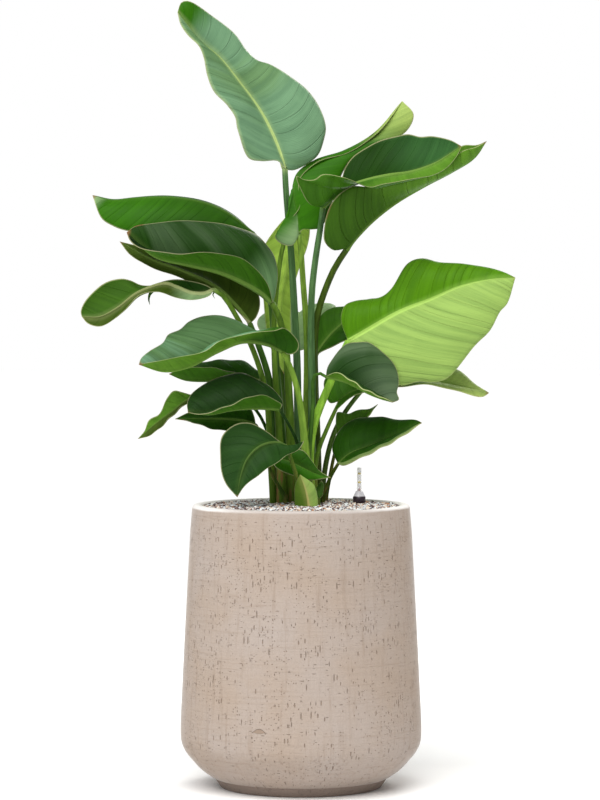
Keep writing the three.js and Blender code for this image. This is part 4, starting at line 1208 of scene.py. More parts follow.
def leaf_material(name, leaf, settings):
    """Upper and lower face, midrib, stalk, veins, pale edge and dry spots of one leaf."""
    material, t, shader = base_material(name, IOR=1.45, Specular_IOR_Level=leaf["shine"])
    group = t.add("ShaderNodeGroup", node_tree=vein_group())
    group.inputs["Spacing"].default_value = settings.vein_spacing
    group.inputs["Pleat Spacing"].default_value = settings.pleat_spacing
    group.inputs["Left Slant"].default_value = leaf["slants"][0]
    group.inputs["Right Slant"].default_value = leaf["slants"][1]
    group.inputs["Seed"].default_value = leaf["phase"]
    fine, pleats, folds = (group.outputs[k] for k in ("Fine", "Pleats", "Folds"))
    patches, blotches = (group.outputs[k] for k in ("Patches", "Blotches"))
    left, right, under_left, under_right = (linear(c) for c in leaf["tints"])
    across = t.number("leaf_across")
    under = t.number("leaf_under")
    share = t.number("leaf_share")
    rib = t.number("leaf_rib")
    margin = t.number("leaf_margin")
    upper = t.math("SUBTRACT", 1.0, under)

    half = t.span(across, *HALF_SPAN)
    face = t.mix(under, t.mix(half, left, right), t.mix(half, under_left, under_right))
    # Painted sheen: gloss patches on the upper face, painted in the sheen colour.
    painted_sheen = t.math("MULTIPLY", t.span(patches, 0.5, 0.64), upper)
    face = t.mix(t.math("MULTIPLY", painted_sheen, leaf["painted_sheen"]), face, linear(leaf["painted_sheen_tint"]))
    # Zones change the colour along the blade; on some leaves they paint sheen.
    for low, high, side, tint in leaf["zones"]:
        mask = t.span(t.math("MULTIPLY_ADD", t.math("SUBTRACT", patches, 0.5), 0.25, share), low, high)
        if side:
            mask = t.math("MULTIPLY", mask, t.span(t.math("MULTIPLY", across, side), *HALF_SPAN))
        face = t.mix(mask, face, linear(tint))
    lighter = t.mix(1.0, face, (1.3, 1.25, 1.15), "MULTIPLY")
    darker = t.mix(1.0, face, (0.6, 0.66, 0.55), "MULTIPLY")
    # Bands along the side veins, lighter and darker, are painted light and shade of the blade's folds.
    face = t.mix(t.span(folds, 0.3, 0.7), t.mix(0.45, face, darker), t.mix(0.6, face, lighter))
    face = t.mix(t.math("MULTIPLY", fine, 0.16), face, darker)
    # Dark pleat lines are painted shade in the creases of the deep veins; a negative pleat makes them
    # pale.
    pleat_tone = darker if leaf["pleat"] > 0 else lighter
    face = t.mix(t.math("MULTIPLY", pleats, abs(leaf["pleat"])), face, pleat_tone)
    face = t.mix(t.span(blotches, 0.5, 0.8, 0.0, 0.35), face, lighter)

    rib_colour = linear(leaf["rib_tint"])
    glow = 0.22 * leaf["rib_strength"]
    near_rib = t.span(t.math("ABSOLUTE", across), *RIB_GLOW_SPAN, glow, 0.0)
    face = t.mix(near_rib, face, rib_colour)
    fading = t.span(share, 0.0, 1.0, leaf["rib_strength"], 0.5 * leaf["rib_strength"])
    face = t.mix(t.math("MULTIPLY", t.span(rib, 0.08, 0.4), fading), face, rib_colour)

    for side, (width, strength) in zip((-1, 1), leaf["rolls"]):
        if not width:
            continue
        here = t.math("GREATER_THAN", t.math("MULTIPLY", across, side), 0.0)
        band = t.span(margin, width * MM, width * MM * 0.7, 0.0, strength)
        face = t.mix(t.math("MULTIPLY", here, band), face, linear(leaf["roll_tint"]))

    stalk_noise = t.noise(t.stretched((9, 9, 1.2)), 14.0, 5.0)
    stalk_tint = linear(leaf["stalk_tint"])
    stalk_dark = t.mix(1.0, stalk_tint, (0.68, 0.72, 0.62), "MULTIPLY")
    stalk_light = t.mix(1.0, stalk_tint, (1.28, 1.24, 1.15), "MULTIPLY")
    stalk = t.mix(t.span(stalk_noise, 0.3, 0.7), stalk_dark, stalk_light)
    height = t.add("ShaderNodeSeparateXYZ", {
        "Vector": t.add("ShaderNodeTexCoord").outputs["Object"]}).outputs["Z"]
    aged = t.math("MULTIPLY", t.span(height, *AGED_SPAN), t.span(stalk_noise, 0.48, 0.6))
    stalk = t.mix(t.math("MULTIPLY", aged, leaf["aged"]), stalk, tuple(settings.dry))
    face = t.mix(t.span(share, -0.02, 0.03), stalk, face)

    edge = t.span(margin, *EDGE_SPAN, leaf["edge"], 0.0)
    face = t.mix(edge, face, tuple(settings.edge))
    tip = t.math("MULTIPLY", t.span(share, 0.965, 0.995), t.span(blotches, 0.35, 0.6))
    rim_spots = t.math("MULTIPLY", t.span(margin, *SPOT_SPAN), t.span(blotches, 0.62, 0.72))
    face = t.mix(t.math("MAXIMUM", tip, rim_spots), face, tuple(settings.dry))
    t.set(shader.inputs["Base Color"], face)

    rough = t.math("MULTIPLY_ADD", under, 0.16, leaf["gloss"])
    rough = t.math("ADD", rough, t.math("MULTIPLY", blotches, 0.1))
    t.set(shader.inputs["Roughness"], rough)
    relief = t.math("ADD", t.math("MULTIPLY", folds, 1.2), t.math("MULTIPLY", fine, 0.14))
    relief = t.math("SUBTRACT", relief, t.math("MULTIPLY", pleats, 0.9))
    off_rib = t.math("MULTIPLY", relief, t.span(rib, 0.7, 0.2))
    bump(t, shader, off_rib, leaf["relief"], VEIN_RELIEF)
    return material


def mark_group():
    """Short pits and scratches scattered in clusters, one cell each."""
    if "Cast marks" in bpy.data.node_groups:
        return bpy.data.node_groups["Cast marks"]
    t, given, out = new_group(
        "Cast marks",
        [("Across", "NodeSocketFloat", 100.0), ("Up", "NodeSocketFloat", 40.0),
         ("Width", "NodeSocketFloat", 0.2), ("Share", "NodeSocketFloat", 0.3),
         ("Seed", "NodeSocketFloat", 0.0)],
        [("Mark", "NodeSocketFloat")])
    place = t.add("ShaderNodeSeparateXYZ", {
        "Vector": t.add("ShaderNodeTexCoord").outputs["Object"]}).outputs
    turn = t.math("ARCTAN2", place["X"], t.math("MULTIPLY", place["Y"], -1.0))
    arc = t.math("MULTIPLY", turn, PLANTER_MEAN_RADIUS)
    cell = t.add("ShaderNodeTexVoronoi", voronoi_dimensions="2D", inputs={
        "Vector": t.add("ShaderNodeCombineXYZ", {
            "X": t.math("MULTIPLY_ADD", arc, given.outputs["Across"], given.outputs["Seed"]),
            "Y": t.math("MULTIPLY", place["Z"], given.outputs["Up"])}).outputs[0],
        "Scale": 1.0})
    drawn = t.add("ShaderNodeSeparateColor", {"Color": cell.outputs["Color"]}).outputs
    cluster = t.noise(t.add("ShaderNodeCombineXYZ", {
        "X": arc, "Y": place["Z"], "Z": given.outputs["Seed"]}).outputs[0], 11.0, 2.0)
    present = t.math("LESS_THAN", drawn["Red"], t.math(
        "MULTIPLY", given.outputs["Share"], t.span(cluster, 0.35, 0.65, 0.1, 1.6)))
    width = t.math("MULTIPLY", given.outputs["Width"], t.span(drawn["Green"], 0.0, 1.0, 0.5, 1.3))
    shape = t.span(t.math("SUBTRACT", cell.outputs["Distance"], width), 0.05, -0.05)
    t.set(out.inputs["Mark"], t.math("MULTIPLY", shape, present))
    return t.tree


def concrete_material(settings):
    """Cast body with brushed scratches both ways, pits and a dent in painted shade, painted sheen
    towards the silhouette, painted floor-bounce light low down, a paler rim and a foot in painted
    shade.
    """
    material, t, shader = base_material("Brushed concrete", IOR=1.5, Specular_IOR_Level=0.3)
    place = t.add("ShaderNodeTexCoord").outputs["Object"]
    axes = t.add("ShaderNodeSeparateXYZ", {"Vector": place}).outputs
    height = axes["Z"]
    upright = t.noise(t.stretched((20, 20, 1.3)), 5.0, 6.0, 0.65)
    level = t.noise(t.stretched((1.5, 1.5, 34)), 6.0, 6.0, 0.7)
    cloud = t.noise(place, 6.5, 4.0, 0.55)
    stain = t.noise(t.stretched((1, 1, 0.6)), 9.0, 3.0, 0.5)
    grain = t.noise(place, 380.0, 3.0, 0.7)
    body = tuple(settings.concrete)
    pale = t.mix(1.0, body, (1.07, 1.10, 1.14), "MULTIPLY")
    warm = t.mix(1.0, body, (1.01, 0.95, 0.87), "MULTIPLY")
    deep = t.mix(1.0, body, (0.64, 0.55, 0.46), "MULTIPLY")
    colour = t.mix(t.span(cloud, 0.2, 0.8), warm, pale)
    colour = t.mix(t.span(stain, 0.55, 0.75, 0.0, 0.3), colour, warm)
    colour = t.mix(t.span(upright, 0.5, 0.75, 0.0, 0.4), colour, deep)
    colour = t.mix(t.span(level, 0.5, 0.75, 0.0, 0.32), colour, deep)
    colour = t.mix(t.span(grain, 0.45, 0.75, 0.0, 0.2), colour, deep)
    marks = None
    for values in CAST_MARKS:
        group = t.add("ShaderNodeGroup", node_tree=mark_group())
        for key, value in zip(("Across", "Up", "Width", "Share", "Seed"), values):
            group.inputs[key].default_value = value
        mark = group.outputs["Mark"]
        marks = mark if marks is None else t.math("MAXIMUM", marks, mark)
    dent = dent_shade_mask(t, axes)
    smooth_top = t.span(height, *SMOOTH_TOP_SPAN)
    marks = t.math("MULTIPLY", t.math("MAXIMUM", marks, dent), smooth_top)
    # Pits, scratches and the dent are drawn darker: painted shade in their hollows.
    shaded = t.mix(1.0, body, (0.70, 0.60, 0.50), "MULTIPLY")
    colour = t.mix(t.math("MULTIPLY", marks, 0.75), colour, shaded)
    # Paler where the surface is seen at a glance, towards the silhouette: painted sheen.
    glancing_sheen = t.add("ShaderNodeLayerWeight", {"Blend": 0.35}).outputs["Facing"]
    colour = t.mix(t.span(glancing_sheen, 0.55, 1.0, 0.0, 0.5), colour, tuple(settings.rim))
    # Paler low down where the body turns in towards the foot: painted light bounced from the floor.
    floor_bounce_light = t.span(height, *FLOOR_BOUNCE_SPAN)
    colour = t.mix(t.math("MULTIPLY", floor_bounce_light, 0.25), colour, pale)
    # The rim's top is paler, with a slightly wavy edge; towards the front it leans to the body's pale
    # tone.
    worn = t.math("MULTIPLY_ADD", t.math("SUBTRACT", stain, 0.5), 0.008, height)
    lip = t.mix(t.span(axes["Y"], *FRONT_SPAN, 0.0, 0.75), tuple(settings.rim), pale)
    colour = t.mix(t.span(worn, *RIM_SPAN), colour, lip)
    # The recessed foot is darker: painted shade under the body's overhang.
    colour = t.mix(t.span(height, *FOOT_SHADE_SPAN), colour, tuple(settings.foot))
    t.set(shader.inputs["Base Color"], colour)
    t.set(shader.inputs["Roughness"], t.span(grain, 0.2, 0.8, 0.78, 0.95))
    relief = t.math("ADD", t.math("MULTIPLY", upright, 0.5), t.math("MULTIPLY", level, 0.5))
    relief = t.math("ADD", relief, t.math("MULTIPLY", grain, 0.12))
    relief = t.math("SUBTRACT", relief, t.math("MULTIPLY", marks, 0.8))
    bump(t, shader, relief, 1.0, 0.003)
    return material


def dent_shade_mask(t, axes):
    """Crescent of painted shade for a dent low on the planter's front, left of the middle."""
    across = t.math("DIVIDE", t.math("SUBTRACT", axes["X"], DENT_ACROSS), DENT_HALF_WIDTH)
    up = t.math("SUBTRACT", axes["Z"], DENT_UP)
    arch = t.math("MULTIPLY_ADD", t.math("POWER", across, 2.0), -DENT_ARCH, DENT_TOP)
    off = t.math("ABSOLUTE", t.math("SUBTRACT", up, arch))
    thick = t.math("MULTIPLY", t.span(t.math("ABSOLUTE", across), 1.0, 0.1), DENT_THICKNESS)
    front = t.math("LESS_THAN", axes["Y"], 0.0)
    inside = t.math("MULTIPLY", t.math("LESS_THAN", t.math("ABSOLUTE", across), 1.0), front)
    deep = t.span(t.math("SUBTRACT", off, thick), DENT_SOFTNESS, -DENT_SOFTNESS)
    return t.math("MULTIPLY", deep, inside)


def gravel_material(name, shade):
    """Mixed pumice, lava and quartz stones; each stone has one tint, and the shade factor darkens all
    of it as painted shade.
    """
    material, t, shader = base_material(name, IOR=1.5)
    tint = t.number("stone_tint")
    ramp = t.add("ShaderNodeValToRGB", {"Fac": tint})
    ramp.color_ramp.interpolation = "CONSTANT"
    while len(ramp.color_ramp.elements) < len(STONE_COLOURS):
        ramp.color_ramp.elements.new(0.5)
    for element, (at, colour) in zip(ramp.color_ramp.elements, STONE_COLOURS):
        element.position = at
        element.color = (*linear(colour), 1)
    place = t.add("ShaderNodeTexCoord").outputs["Object"]
    grain = t.noise(place, 900.0, 3.0, 0.7)
    dark = t.mix(1.0, ramp.outputs["Color"], (shade * 0.7,) * 3, "MULTIPLY")
    bright = t.mix(1.0, ramp.outputs["Color"], (shade,) * 3, "MULTIPLY")
    t.set(shader.inputs["Base Color"], t.mix(t.span(grain, 0.3, 0.65), dark, bright))
    t.set(shader.inputs["Roughness"], t.span(grain, 0.3, 0.7, 0.7, 0.95))
    bump(t, shader, grain, 0.4, 0.0008)
    return material


def plastic_material(name, colour, roughness):
    """Moulded plastic with a fine skin."""
    material, t, shader = base_material(name, IOR=1.5)
    place = t.add("ShaderNodeTexCoord").outputs["Object"]
    skin = t.noise(place, 700.0, 3.0)
    worn = t.noise(place, 60.0, 4.0)
    dull = t.mix(1.0, colour, (1.5, 1.5, 1.5), "MULTIPLY")
    t.set(shader.inputs["Base Color"], t.mix(t.span(worn, 0.45, 0.75, 0.0, 0.5), colour, dull))
    t.set(shader.inputs["Roughness"], t.span(worn, 0.3, 0.7, roughness, roughness + 0.15))
    bump(t, shader, skin, 0.12, 0.0004)
    return material


def collar_material(black, shoulder):
    """Black collar that turns to smoky plastic on the cone above the given height."""
    material, t, shader = base_material("Collar plastic", IOR=1.5)
    place = t.add("ShaderNodeTexCoord").outputs["Object"]
    height = t.add("ShaderNodeSeparateXYZ", {"Vector": place}).outputs["Z"]
    worn = t.noise(place, 60.0, 4.0)
    smoky = t.span(height, shoulder - 0.0004, shoulder + 0.0014)
    t.set(shader.inputs["Base Color"], t.mix(smoky, black, (0.62, 0.60, 0.66)))
    t.set(shader.inputs["Roughness"], t.span(worn, 0.3, 0.7, 0.2, 0.35))
    return material


def clear_material():
    """Clear plastic of the gauge's stem, a little clouded."""
    material, t, shader = base_material("Clear plastic", IOR=1.46)
    shader.inputs["Alpha"].default_value = 0.3
    place = t.add("ShaderNodeTexCoord").outputs["Object"]
    haze = t.noise(place, 90.0, 3.0)
    t.set(shader.inputs["Base Color"], t.mix(haze, (0.86, 0.86, 0.88), (0.96, 0.96, 0.98)))
    t.set(shader.inputs["Roughness"], t.span(haze, 0.3, 0.7, 0.08, 0.2))
    return material


def soil_material():
    """Moist crumbly planting mix."""
    material, t, shader = base_material("Planting mix", IOR=1.4)
    place = t.add("ShaderNodeTexCoord").outputs["Object"]
    crumbs = t.noise(place, 160.0, 6.0, 0.7)
    colour = t.mix(t.span(crumbs, 0.35, 0.65), (0.012, 0.008, 0.005), (0.06, 0.04, 0.026))
    t.set(shader.inputs["Base Color"], colour)
    t.set(shader.inputs["Roughness"], t.span(crumbs, 0.3, 0.7, 0.8, 0.98))
    bump(t, shader, crumbs, 0.8, 0.004)
    return material


# ---------------------------------------------------------------- operators
def settings_of(context, key):
    """One of the scene's property groups."""
    return getattr(context.scene, key)


class PLANT_OT_planter(bpy.types.Operator):
    """Make the planter's cast shell"""
    bl_idname = "plant.planter"
    bl_label = "Planter"

    def execute(self, context):
        settings = settings_of(context, "plant_planter")
        inner = [(radius_at(z) - PLANTER_WALL, z) for z in INNER_HEIGHTS]
        floor = (radius_at(PLANTER_FLOOR + FLOOR_CORNER) - PLANTER_WALL, PLANTER_FLOOR)
        profile = [(0, 0), *fine_outline(), INNER_LIP, *inner, floor, (0, PLANTER_FLOOR)]
        piece = turned("planter_shell", profile, settings.sides, concrete_material(settings))
        dress(piece, "planter", "plant")
        return {"FINISHED"}


def fine_outline():
    """The planter's outline with its long side eased; foot and rim keep their corners."""
    foot, side, rim = PLANTER_OUTLINE[:3], PLANTER_OUTLINE[2:10], PLANTER_OUTLINE[10:]
    eased = [tuple(p) for p in spline(side, np.linspace(0, 1, SIDE_STEPS))]
    foot_face = rounded(foot, FOOT_ROUNDING)[1:-1]
    rim_face = rounded([side[-1], *rim], RIM_ROUNDING)[1:]
    return [*FOOT_EDGE, *foot_face, *eased, *rim_face]


def radius_at(height):
    """Outer radius of the planter at a height, straight between the outline's points."""
    heights = [z for _, z in PLANTER_OUTLINE]
    return float(np.interp(height, heights, [r for r, _ in PLANTER_OUTLINE]))


def gravel_height(x, y, edge):
    """Top of the dressing: low waves that fall a little towards the wall."""
    waves = np.sin(x / 13 + 1.3) * np.cos(y / 11) + 0.5 * np.sin((x + y) / 7)
    return GRAVEL_TOP - GRAVEL_FALL * (np.hypot(x, y) / edge) ** 6 + GRAVEL_RELIEF * waves


def stalk_spots():
    """Where the stalks pass the gravel, as (x, y, radius) in mm."""
    feet = placed([leaf["stalk"][0] for leaf in LEAVES.values()])
    radii = [leaf["radius"][0] for leaf in LEAVES.values()]
    return np.column_stack([feet[:, :2], radii])


def gauge_place():
    """Centre of the water gauge in mm, from the construction model."""
    low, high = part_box("gauge_housing")
    return ((low[0] + high[0]) / 2 / MM, (low[1] + high[1]) / 2 / MM)


class PLANT_OT_gravel(bpy.types.Operator):
    """Make the gravel bed and its loose stones"""
    bl_idname = "plant.gravel"
    bl_label = "Gravel"

    def execute(self, context):
        settings = settings_of(context, "plant_gravel")
        edge = radius_at(GRAVEL_TOP) - PLANTER_WALL - WALL_GAP
        self.bed(edge)
        self.stones(settings, edge)
        return {"FINISHED"}

    def bed(self, edge):
        """The close-packed stones under the loose ones, as one waved disc."""
        rings, sides = BED_RINGS, BED_SIDES
        points = [(0, 0, float(gravel_height(0.0, 0.0, edge)) - BED_DROP)]
        for i in range(1, rings + 1):
            for k in range(sides):
                angle = 2 * math.pi * k / sides
                x = edge * i / rings * math.cos(angle)
                y = edge * i / rings * math.sin(angle)
                points.append((x, y, float(gravel_height(x, y, edge)) - BED_DROP))
        for k in range(sides):
            angle = 2 * math.pi * k / sides
            points.append((edge * math.cos(angle), edge * math.sin(angle), GRAVEL_BOTTOM))
        points.append((0, 0, GRAVEL_BOTTOM))
        faces = [(0, 1 + k, 1 + (k + 1) % sides) for k in range(sides)]
        for i in range(rings):
            for k in range(sides):
                n = (k + 1) % sides
                low, high = 1 + i * sides, 1 + (i + 1) * sides
                faces.append((low + k, high + k, high + n, low + n))
        under = 1 + rings * sides
        faces += [(len(points) - 1, under + (k + 1) % sides, under + k) for k in range(sides)]
        # Half brightness: painted shade in the gaps under the loose stones.
        material = gravel_material("Gravel bed", 0.5)
        piece = make_object("gravel_bed", np.array(points) * MM, faces, material)
        rng = np.random.default_rng(3)
        store(piece, "stone_tint", rng.random(len(points)))
        dress(piece, "gravel", "plant")

    def stones(self, settings, edge):
        """Loose angular stones in one layer, clear of the stalks and the gauge."""
        rng = np.random.default_rng(settings.seed)
        step = settings.spacing / MM
        size = settings.stone / MM
        grid = []
        for i, y in enumerate(np.arange(-edge, edge, step * 0.866)):
            for x in np.arange(-edge + (i % 2) * step / 2, edge, step):
                grid.append((x, y))
        places = np.array(grid) + rng.normal(0, step * 0.22, (len(grid), 2))
        places = places[np.hypot(places[:, 0], places[:, 1]) < edge - size * 0.9]
        for x, y, radius in [*stalk_spots(), (*gauge_place(), COLLAR_RADIUS - 2)]:
            places = places[np.hypot(places[:, 0] - x, places[:, 1] - y) > radius + size * 0.5]
        shape, shape_faces = icosahedron()
        corners = len(shape)
        points, faces, tints = [], [], []
        for x, y in places:
            spin = random_turn(rng)
            radii = size * np.exp(rng.normal(0, 0.22)) * rng.uniform(0.7, 1.15, 3)
            stone = (shape * (1 + rng.normal(0, 0.10, (corners, 1)))) * radii @ spin
            z = gravel_height(x, y, edge) + rng.uniform(-0.6, 1.0)
            faces.append(shape_faces + corners * len(points))
            points.append(stone + (x, y, z))
            tints.append(np.full(corners, rng.random()))
        material = gravel_material("Gravel stones", 1.0)
        piece = make_object("gravel_stones", np.concatenate(points) * MM, np.concatenate(faces),
                            material, smooth=False)
        store(piece, "stone_tint", np.concatenate(tints))
        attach(piece, "plant")


def icosahedron():
    """Corners and faces of a unit icosahedron."""
    g = (1 + 5 ** 0.5) / 2
    corners = [(-1, g, 0), (1, g, 0), (-1, -g, 0), (1, -g, 0), (0, -1, g), (0, 1, g),
               (0, -1, -g), (0, 1, -g), (g, 0, -1), (g, 0, 1), (-g, 0, -1), (-g, 0, 1)]
    faces = [(0, 11, 5), (0, 5, 1), (0, 1, 7), (0, 7, 10), (0, 10, 11), (1, 5, 9), (5, 11, 4),
             (11, 10, 2), (10, 7, 6), (7, 1, 8), (3, 9, 4), (3, 4, 2), (3, 2, 6), (3, 6, 8),
             (3, 8, 9), (4, 9, 5), (2, 4, 11), (6, 2, 10), (8, 6, 7), (9, 8, 1)]
    return unit(np.array(corners, float)), np.array(faces)


def random_turn(rng):
    """A turn drawn evenly from all turns."""
    q = rng.normal(size=4)
    w, x, y, z = q / np.linalg.norm(q)
    return np.array([
        [1 - 2 * (y * y + z * z), 2 * (x * y - z * w), 2 * (x * z + y * w)],
        [2 * (x * y + z * w), 1 - 2 * (x * x + z * z), 2 * (y * z - x * w)],
        [2 * (x * z - y * w), 2 * (y * z + x * w), 1 - 2 * (x * x + y * y)]])


class PLANT_OT_gauge(bpy.types.Operator):
    """Make the water gauge's collar, clear stem, marks and pointer"""
    bl_idname = "plant.gauge"
    bl_label = "Water gauge"

    def execute(self, context):
        settings = settings_of(context, "plant_gauge")
        at = gauge_place()
        self.collar(at, tuple(settings.black))
        self.stem(at, plastic_material("Printed marks", tuple(settings.mark), 0.4))
        low, high = heights_of("gauge_tip")
        profile = [(0, low), (TIP_RADIUS - 0.4, low), (TIP_RADIUS, low + 0.4), (TIP_RADIUS, high - 2.1),
                   (TIP_RADIUS - 0.5, high - 0.6), (0, high)]
        red = plastic_material("Red pointer", tuple(settings.pointer), 0.35)
        piece = turned("gauge_pointer", profile, GAUGE_SIDES, red, at)
        dress(piece, "gauge_tip", "float")
        low, high = heights_of("gauge_float")
        top = low + FLOAT_HEIGHT
        profile = [(0, low), (FLOAT_RADIUS - 0.6, low), (FLOAT_RADIUS, low + 0.8),
                   (FLOAT_RADIUS, top - FLOAT_RADIUS), (FLOAT_RADIUS - 1.4, top - 3), (ROD_RADIUS, top),
                   (ROD_RADIUS, high), (0, high)]
        white = plastic_material("Float foam", (0.72, 0.72, 0.70), 0.6)
        piece = turned("gauge_float_rod", profile, GAUGE_SIDES, white, at)
        dress(piece, "gauge_float", "float")
        return {"FINISHED"}

    def collar(self, at, black):
        """Collar on the gravel, cone over it and the shaft below."""
        bottom, top = heights_of("gauge_housing")
        collar = GRAVEL_TOP + 2 * GRAVEL_RELIEF
        shoulder = top - CONE_HEIGHT
        seat = TUBE_RADIUS + SEAT_GAP
        rod = ROD_RADIUS + ROD_GAP
        profile = [
            (SHAFT_BORE, bottom), (SHAFT_RADIUS, bottom), (SHAFT_RADIUS, collar),
            (COLLAR_RADIUS - 0.8, collar), (COLLAR_RADIUS, collar + 0.8),
            (COLLAR_RADIUS, shoulder - 1), (COLLAR_RADIUS - 0.8, shoulder),
            (TUBE_RADIUS + 2.4, top - 0.6), (TUBE_RADIUS + 1.8, top), (seat, top), (seat, shoulder),
            (rod, shoulder), (rod, shoulder - 6), (SHAFT_BORE, shoulder - 9)]
        material = collar_material(black, shoulder * MM)
        piece = turned("gauge_collar", profile, 2 * GAUGE_SIDES, material, at)
        dress(piece, "gauge_housing", "plant")

    def stem(self, at, ink):
        """Clear closed tube with two printed marks."""
        low, high = heights_of("gauge_tube")
        bore = TUBE_RADIUS - TUBE_WALL
        profile = [
            (0, high - 1.5), (bore, high - 1.5), (bore, low), (TUBE_RADIUS, low),
            (TUBE_RADIUS, high - 1.5), (TUBE_RADIUS - 0.5, high - 0.5), (TUBE_RADIUS - 1.5, high),
            (0, high)]
        piece = turned("gauge_stem", profile, STEM_SIDES, clear_material(), at)
        dress(piece, "gauge_tube", "plant")
        for name, height in zip(("gauge_mark_full", "gauge_mark_low"), LEVEL_MARKS):
            mark = self.front_mark(name, at, height, ink)
            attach(mark, "plant")

    def front_mark(self, name, at, height, ink):
        """Short printed mark on the front of the tube, as one thin curved plate."""
        points = []
        for angle in np.linspace(-MARK_HALF_ANGLE, MARK_HALF_ANGLE, MARK_STEPS + 1):
            for radius, z in MARK_SECTION:
                reach = TUBE_RADIUS + radius
                x = at[0] + reach * math.sin(angle)
                y = at[1] - reach * math.cos(angle)
                points.append((x, y, height + z))
        size = len(MARK_SECTION)
        last = len(points) - size
        faces = [tuple(reversed(range(size))), tuple(range(last, len(points)))]
        for first in range(0, last, size):
            for k in range(size):
                n = (k + 1) % size
                faces.append((first + k, first + n, first + size + n, first + size + k))
        return make_object(name, np.array(points) * MM, faces, ink)


def heights_of(node):
    """Lowest and highest point of a construction node in mm."""
    low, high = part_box(node)
    return low[2] / MM, high[2] / MM


class PLANT_OT_inside(bpy.types.Operator):
    """Finish the liner and the planting mix, which keep their construction shape"""
    bl_idname = "plant.inside"
    bl_label = "Liner and planting mix"

    def execute(self, context):
        finishes = {"liner": plastic_material("Liner plastic", (0.02, 0.02, 0.022), 0.5),
                    "substrate": soil_material()}
        for node, material in finishes.items():
            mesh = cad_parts[node].data
            mesh.materials.clear()
            mesh.materials.append(material)
        return {"FINISHED"}


class PLANT_OT_leaves(bpy.types.Operator):
    """Make every leaf and old sheath"""
    bl_idname = "plant.leaves"
    bl_label = "Leaves"

    def execute(self, context):
        settings = settings_of(context, "plant_leaf")
        for i, (name, leaf) in enumerate(LEAVES.items()):
            leaf = dict(LEAF_DEFAULTS, **leaf)
            leaf["phase"] = PHASE_STEP * i
            words = name.replace("_", " ").capitalize()
            material = leaf_material(words, leaf, settings)
            piece = leaf_object(name + "_grown", leaf, settings, material)
            dress(piece, name, "plant")
        for name, (drawn, half_width) in TORN_STRIPS.items():
            piece = torn_strip(name, drawn, half_width, bpy.data.materials["Leaf twisted left"])
            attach(piece, "plant")
        return {"FINISHED"}


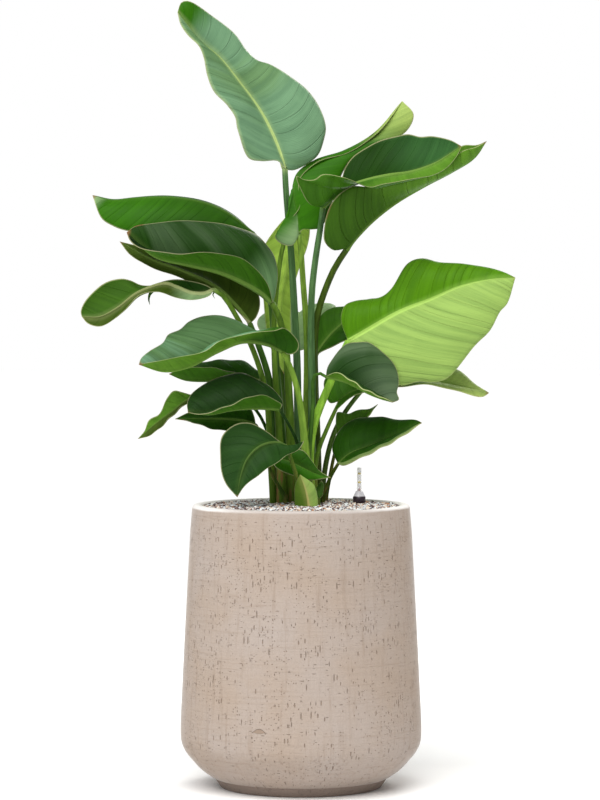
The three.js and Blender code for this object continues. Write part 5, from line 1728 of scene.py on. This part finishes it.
class PLANT_OT_stage(bpy.types.Operator):
    """Set the floor, the lights and the camera"""
    bl_idname = "plant.stage"
    bl_label = "Stage"

    def execute(self, context):
        settings = settings_of(context, "plant_stage")
        self.floor(settings)
        self.lights(context)
        self.camera(context, settings)
        return {"FINISHED"}

    def floor(self, settings):
        """Pale floor, just under the planter's foot."""
        material, t, shader = base_material("Pale floor", Roughness=0.9)
        place = t.add("ShaderNodeTexCoord").outputs["Object"]
        soft = t.noise(place, 2.0, 2.0)
        tone = tuple(settings.floor)
        t.set(shader.inputs["Base Color"], t.mix(soft, tone, tuple(c * 0.985 for c in tone)))
        half = settings.floor_half
        corners = [(-half, -half, 0), (half, -half, 0), (half, half, 0), (-half, half, 0)]
        floor = make_object("floor", corners, [(0, 1, 2, 3)], material)
        floor.location.z = -FLOOR_GAP

    def lights(self, context):
        """Even white room, a broad sun from the front and two soft lamps."""
        world = bpy.data.worlds.new("Soft room")
        context.scene.world = world
        world.use_nodes = True
        t = Nodes(world.node_tree)
        back = world.node_tree.nodes["Background"]
        back.inputs["Color"].default_value = (1, 1, 1, 1)
        seen = t.add("ShaderNodeLightPath").outputs["Is Camera Ray"]
        t.set(back.inputs["Strength"], t.math("MULTIPLY_ADD", seen, 0.6, 0.4))
        sun = bpy.data.lights.new("key", "SUN")
        sun.energy = 2.9
        sun.angle = math.radians(50)
        sun.color = (1, 0.99, 0.97)
        self.place(context, "key", sun, SUN_PLACE)
        for name, place, size, power, colour in SOFT_LAMPS:
            lamp = bpy.data.lights.new(name, "AREA")
            lamp.shape = "DISK"
            lamp.size = size
            lamp.energy = power
            lamp.color = colour
            self.place(context, name, lamp, place)

    def place(self, context, name, data, place):
        """Hangs a lamp and turns it towards the plant."""
        lamp = bpy.data.objects.new(name, data)
        lamp.location = place
        aim = Vector(LAMP_AIM) - Vector(place)
        lamp.rotation_euler = aim.to_track_quat("-Z", "Y").to_euler()
        context.collection.objects.link(lamp)

    def camera(self, context, settings):
        """Long lens from the front, a little downwards."""
        data = bpy.data.cameras.new("camera")
        data.lens = settings.lens
        data.sensor_width = 36
        data.clip_end = 200
        camera = bpy.data.objects.new("camera", data)
        camera.location = (CAMERA_ACROSS, -settings.distance, settings.height)
        camera.rotation_euler = (math.pi / 2 - settings.tilt, 0, 0)
        context.collection.objects.link(camera)
        context.scene.camera = camera
        context.scene.view_settings.view_transform = "Standard"


class PLANT_PT_panel(bpy.types.Panel):
    """Lists the steps and their settings"""
    bl_idname = "PLANT_PT_panel"
    bl_label = "Giant bird of paradise"
    bl_space_type = "VIEW_3D"
    bl_region_type = "UI"
    bl_category = "Plant"

    def draw(self, context):
        for operator in OPERATORS:
            self.layout.operator(operator.bl_idname)
        for key, group in SETTINGS.items():
            box = self.layout.box()
            box.label(text=group.__doc__)
            for name in group.__annotations__:
                box.prop(settings_of(context, key), name)


OPERATORS = (PLANT_OT_stage, PLANT_OT_planter, PLANT_OT_gravel, PLANT_OT_inside, PLANT_OT_gauge,
             PLANT_OT_leaves)
CLASSES = (*SETTINGS.values(), *OPERATORS, PLANT_PT_panel)


def register():
    """Makes the classes known and hangs the settings on the scene."""
    for item in CLASSES:
        bpy.utils.register_class(item)
    for key, group in SETTINGS.items():
        setattr(bpy.types.Scene, key, bpy.props.PointerProperty(type=group))


def unregister():
    """Takes the settings and the classes away again."""
    for key in SETTINGS:
        delattr(bpy.types.Scene, key)
    for item in reversed(CLASSES):
        bpy.utils.unregister_class(item)


def main():
    """Builds all pieces in order."""
    register()
    for operator in OPERATORS:
        group, name = operator.bl_idname.split(".")
        getattr(getattr(bpy.ops, group), name)()


if __name__ == "__main__":
    main()
